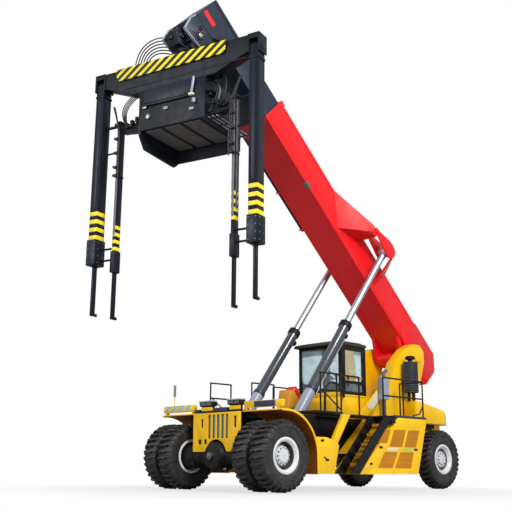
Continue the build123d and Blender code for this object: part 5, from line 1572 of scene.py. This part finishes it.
# %% End caps and rims of the beam
cap_parts = []
for side, sign in SIDES:
    for off in (-0.165, 0.165):
        q = sign * LEG_Q + off
        boss = q + math.copysign(0.002, off)
        cap_parts.append(bar(on_beam(0, boss - 0.012, 0.32), on_beam(0, boss + 0.012, 0.32), 0.085, 28))
        for p, down in ((-0.15, 0.09), (0.15, 0.09), (-0.15, 0.43), (0.15, 0.43)):
            cap_parts.append(bar(on_beam(p, q - 0.010, down), on_beam(p, q + 0.010, down), 0.022, 6))
    q = sign * LEG_Q
    cap_parts.append(slanted_block(on_beam, (-0.198, q - 0.166, 0.030), (0.198, q + 0.166, -0.004)))
on_the_spreader(cap_parts, "beam_caps", BLUE_BLACK, (0.006, 2))
rims = [slanted_block(on_beam, (0.156, -1.60, 0.620), (0.178, 2.20, 0.585)),
        slanted_block(on_beam, (0.156, -1.25, 0.812), (0.178, 1.25, 0.785))]
on_the_spreader(rims, "beam_rims", NAVY, (0.006, 2))
print("spreader dressed")

# %% [markdown]
# ## Floor, light and camera
# The machine stands on a plain white floor under soft, even light, and is seen
# from low down in front of its left side. The world is white to the camera and
# through glass, and dimmer as a source of light and in reflections, so that paint
# keeps its colour.

# %% Floor
MACHINE_MIDDLE = at(-2.5, 0, 0)


def stage_floor():
    """A pale floor that fades to white, as the camera sees it, away from the machine."""
    fresh()
    bpy.ops.mesh.primitive_grid_add(x_subdivisions=8, y_subdivisions=8, size=400, location=(0, 0, -0.002))
    floor = bpy.context.object
    floor.name = "studio_floor"
    material, nodes, links, shader = new_material("floor_white")
    shader.inputs["Base Color"].default_value = (0.40, 0.40, 0.40, 1)
    shader.inputs["Roughness"].default_value = 0.9
    output = nodes["Material Output"]
    glow = nodes.new("ShaderNodeEmission")
    glow.inputs["Color"].default_value = (1, 1, 1, 1)
    path = nodes.new("ShaderNodeLightPath")
    mix = nodes.new("ShaderNodeMixShader")
    coordinates = nodes.new("ShaderNodeTexCoord")
    away = nodes.new("ShaderNodeVectorMath")
    away.operation = "DISTANCE"
    away.inputs[1].default_value = MACHINE_MIDDLE
    links.new(coordinates.outputs["Object"], away.inputs[0])
    fade = spread(nodes, links, away.outputs["Value"], 3.5, 8.5, 0.70, 1.0)
    seen = math_node(nodes, links, "MULTIPLY", path.outputs["Is Camera Ray"], fade)
    links.new(seen, mix.inputs["Fac"])
    links.new(shader.outputs["BSDF"], mix.inputs[1])
    links.new(glow.outputs["Emission"], mix.inputs[2])
    links.new(mix.outputs["Shader"], output.inputs["Surface"])
    floor.data.materials.append(material)


stage_floor()
print("floor laid")

# %% Light
world = bpy.data.worlds.new("studio")
bpy.context.scene.world = world
world.use_nodes = True
sky_nodes, sky_links = world.node_tree.nodes, world.node_tree.links
background = sky_nodes["Background"]
light_path = sky_nodes.new("ShaderNodeLightPath")
seen = math_node(sky_nodes, sky_links, "MAXIMUM", light_path.outputs["Is Camera Ray"],
                 light_path.outputs["Is Transmission Ray"])
level = spread(sky_nodes, sky_links, seen, 0, 1, 0.56, 1.0)
background.inputs["Color"].default_value = (1, 1, 1, 1)
sky_links.new(level, background.inputs["Strength"])


def soft_light(name, place, target, size, power):
    """A round soft light at a place, aimed at a target."""
    fresh()
    bpy.ops.object.light_add(type="AREA", location=place)
    lamp = bpy.context.object
    lamp.name = name
    lamp.data.shape = "DISK"
    lamp.data.size = size
    lamp.data.energy = power
    lamp.rotation_euler = (target - place).to_track_quat("-Z", "Y").to_euler()


soft_light("key", at(4, 22, 18), at(-2, 0, 4), 10, 6200)
soft_light("front_fill", at(22, -4, 12), at(0, 0, 6), 12, 1500)
print("lights set")

# %% Camera
bpy.ops.object.camera_add(location=at(14.1843, 16.1041, 0.5610))
camera = bpy.context.object
camera.name = "camera"
YAW, PITCH, ROLL, LENS = -2.330064, 0.246969, 0.007519, 59.0428125
forward = Vector((math.cos(YAW) * math.cos(PITCH), math.sin(YAW) * math.cos(PITCH), math.sin(PITCH)))
right = forward.cross(Vector((0, 0, 1))).normalized()
up = right.cross(forward)
right_rolled = right * math.cos(ROLL) + up * math.sin(ROLL)
up_rolled = up * math.cos(ROLL) - right * math.sin(ROLL)
camera.rotation_euler = Matrix((right_rolled, up_rolled, -forward)).transposed().to_euler()
camera.data.sensor_width = 36
camera.data.lens = LENS
camera.data.clip_end = 1000
bpy.context.scene.camera = camera
bpy.context.scene.view_settings.view_transform = "Standard"
print("lens", round(camera.data.lens, 2))
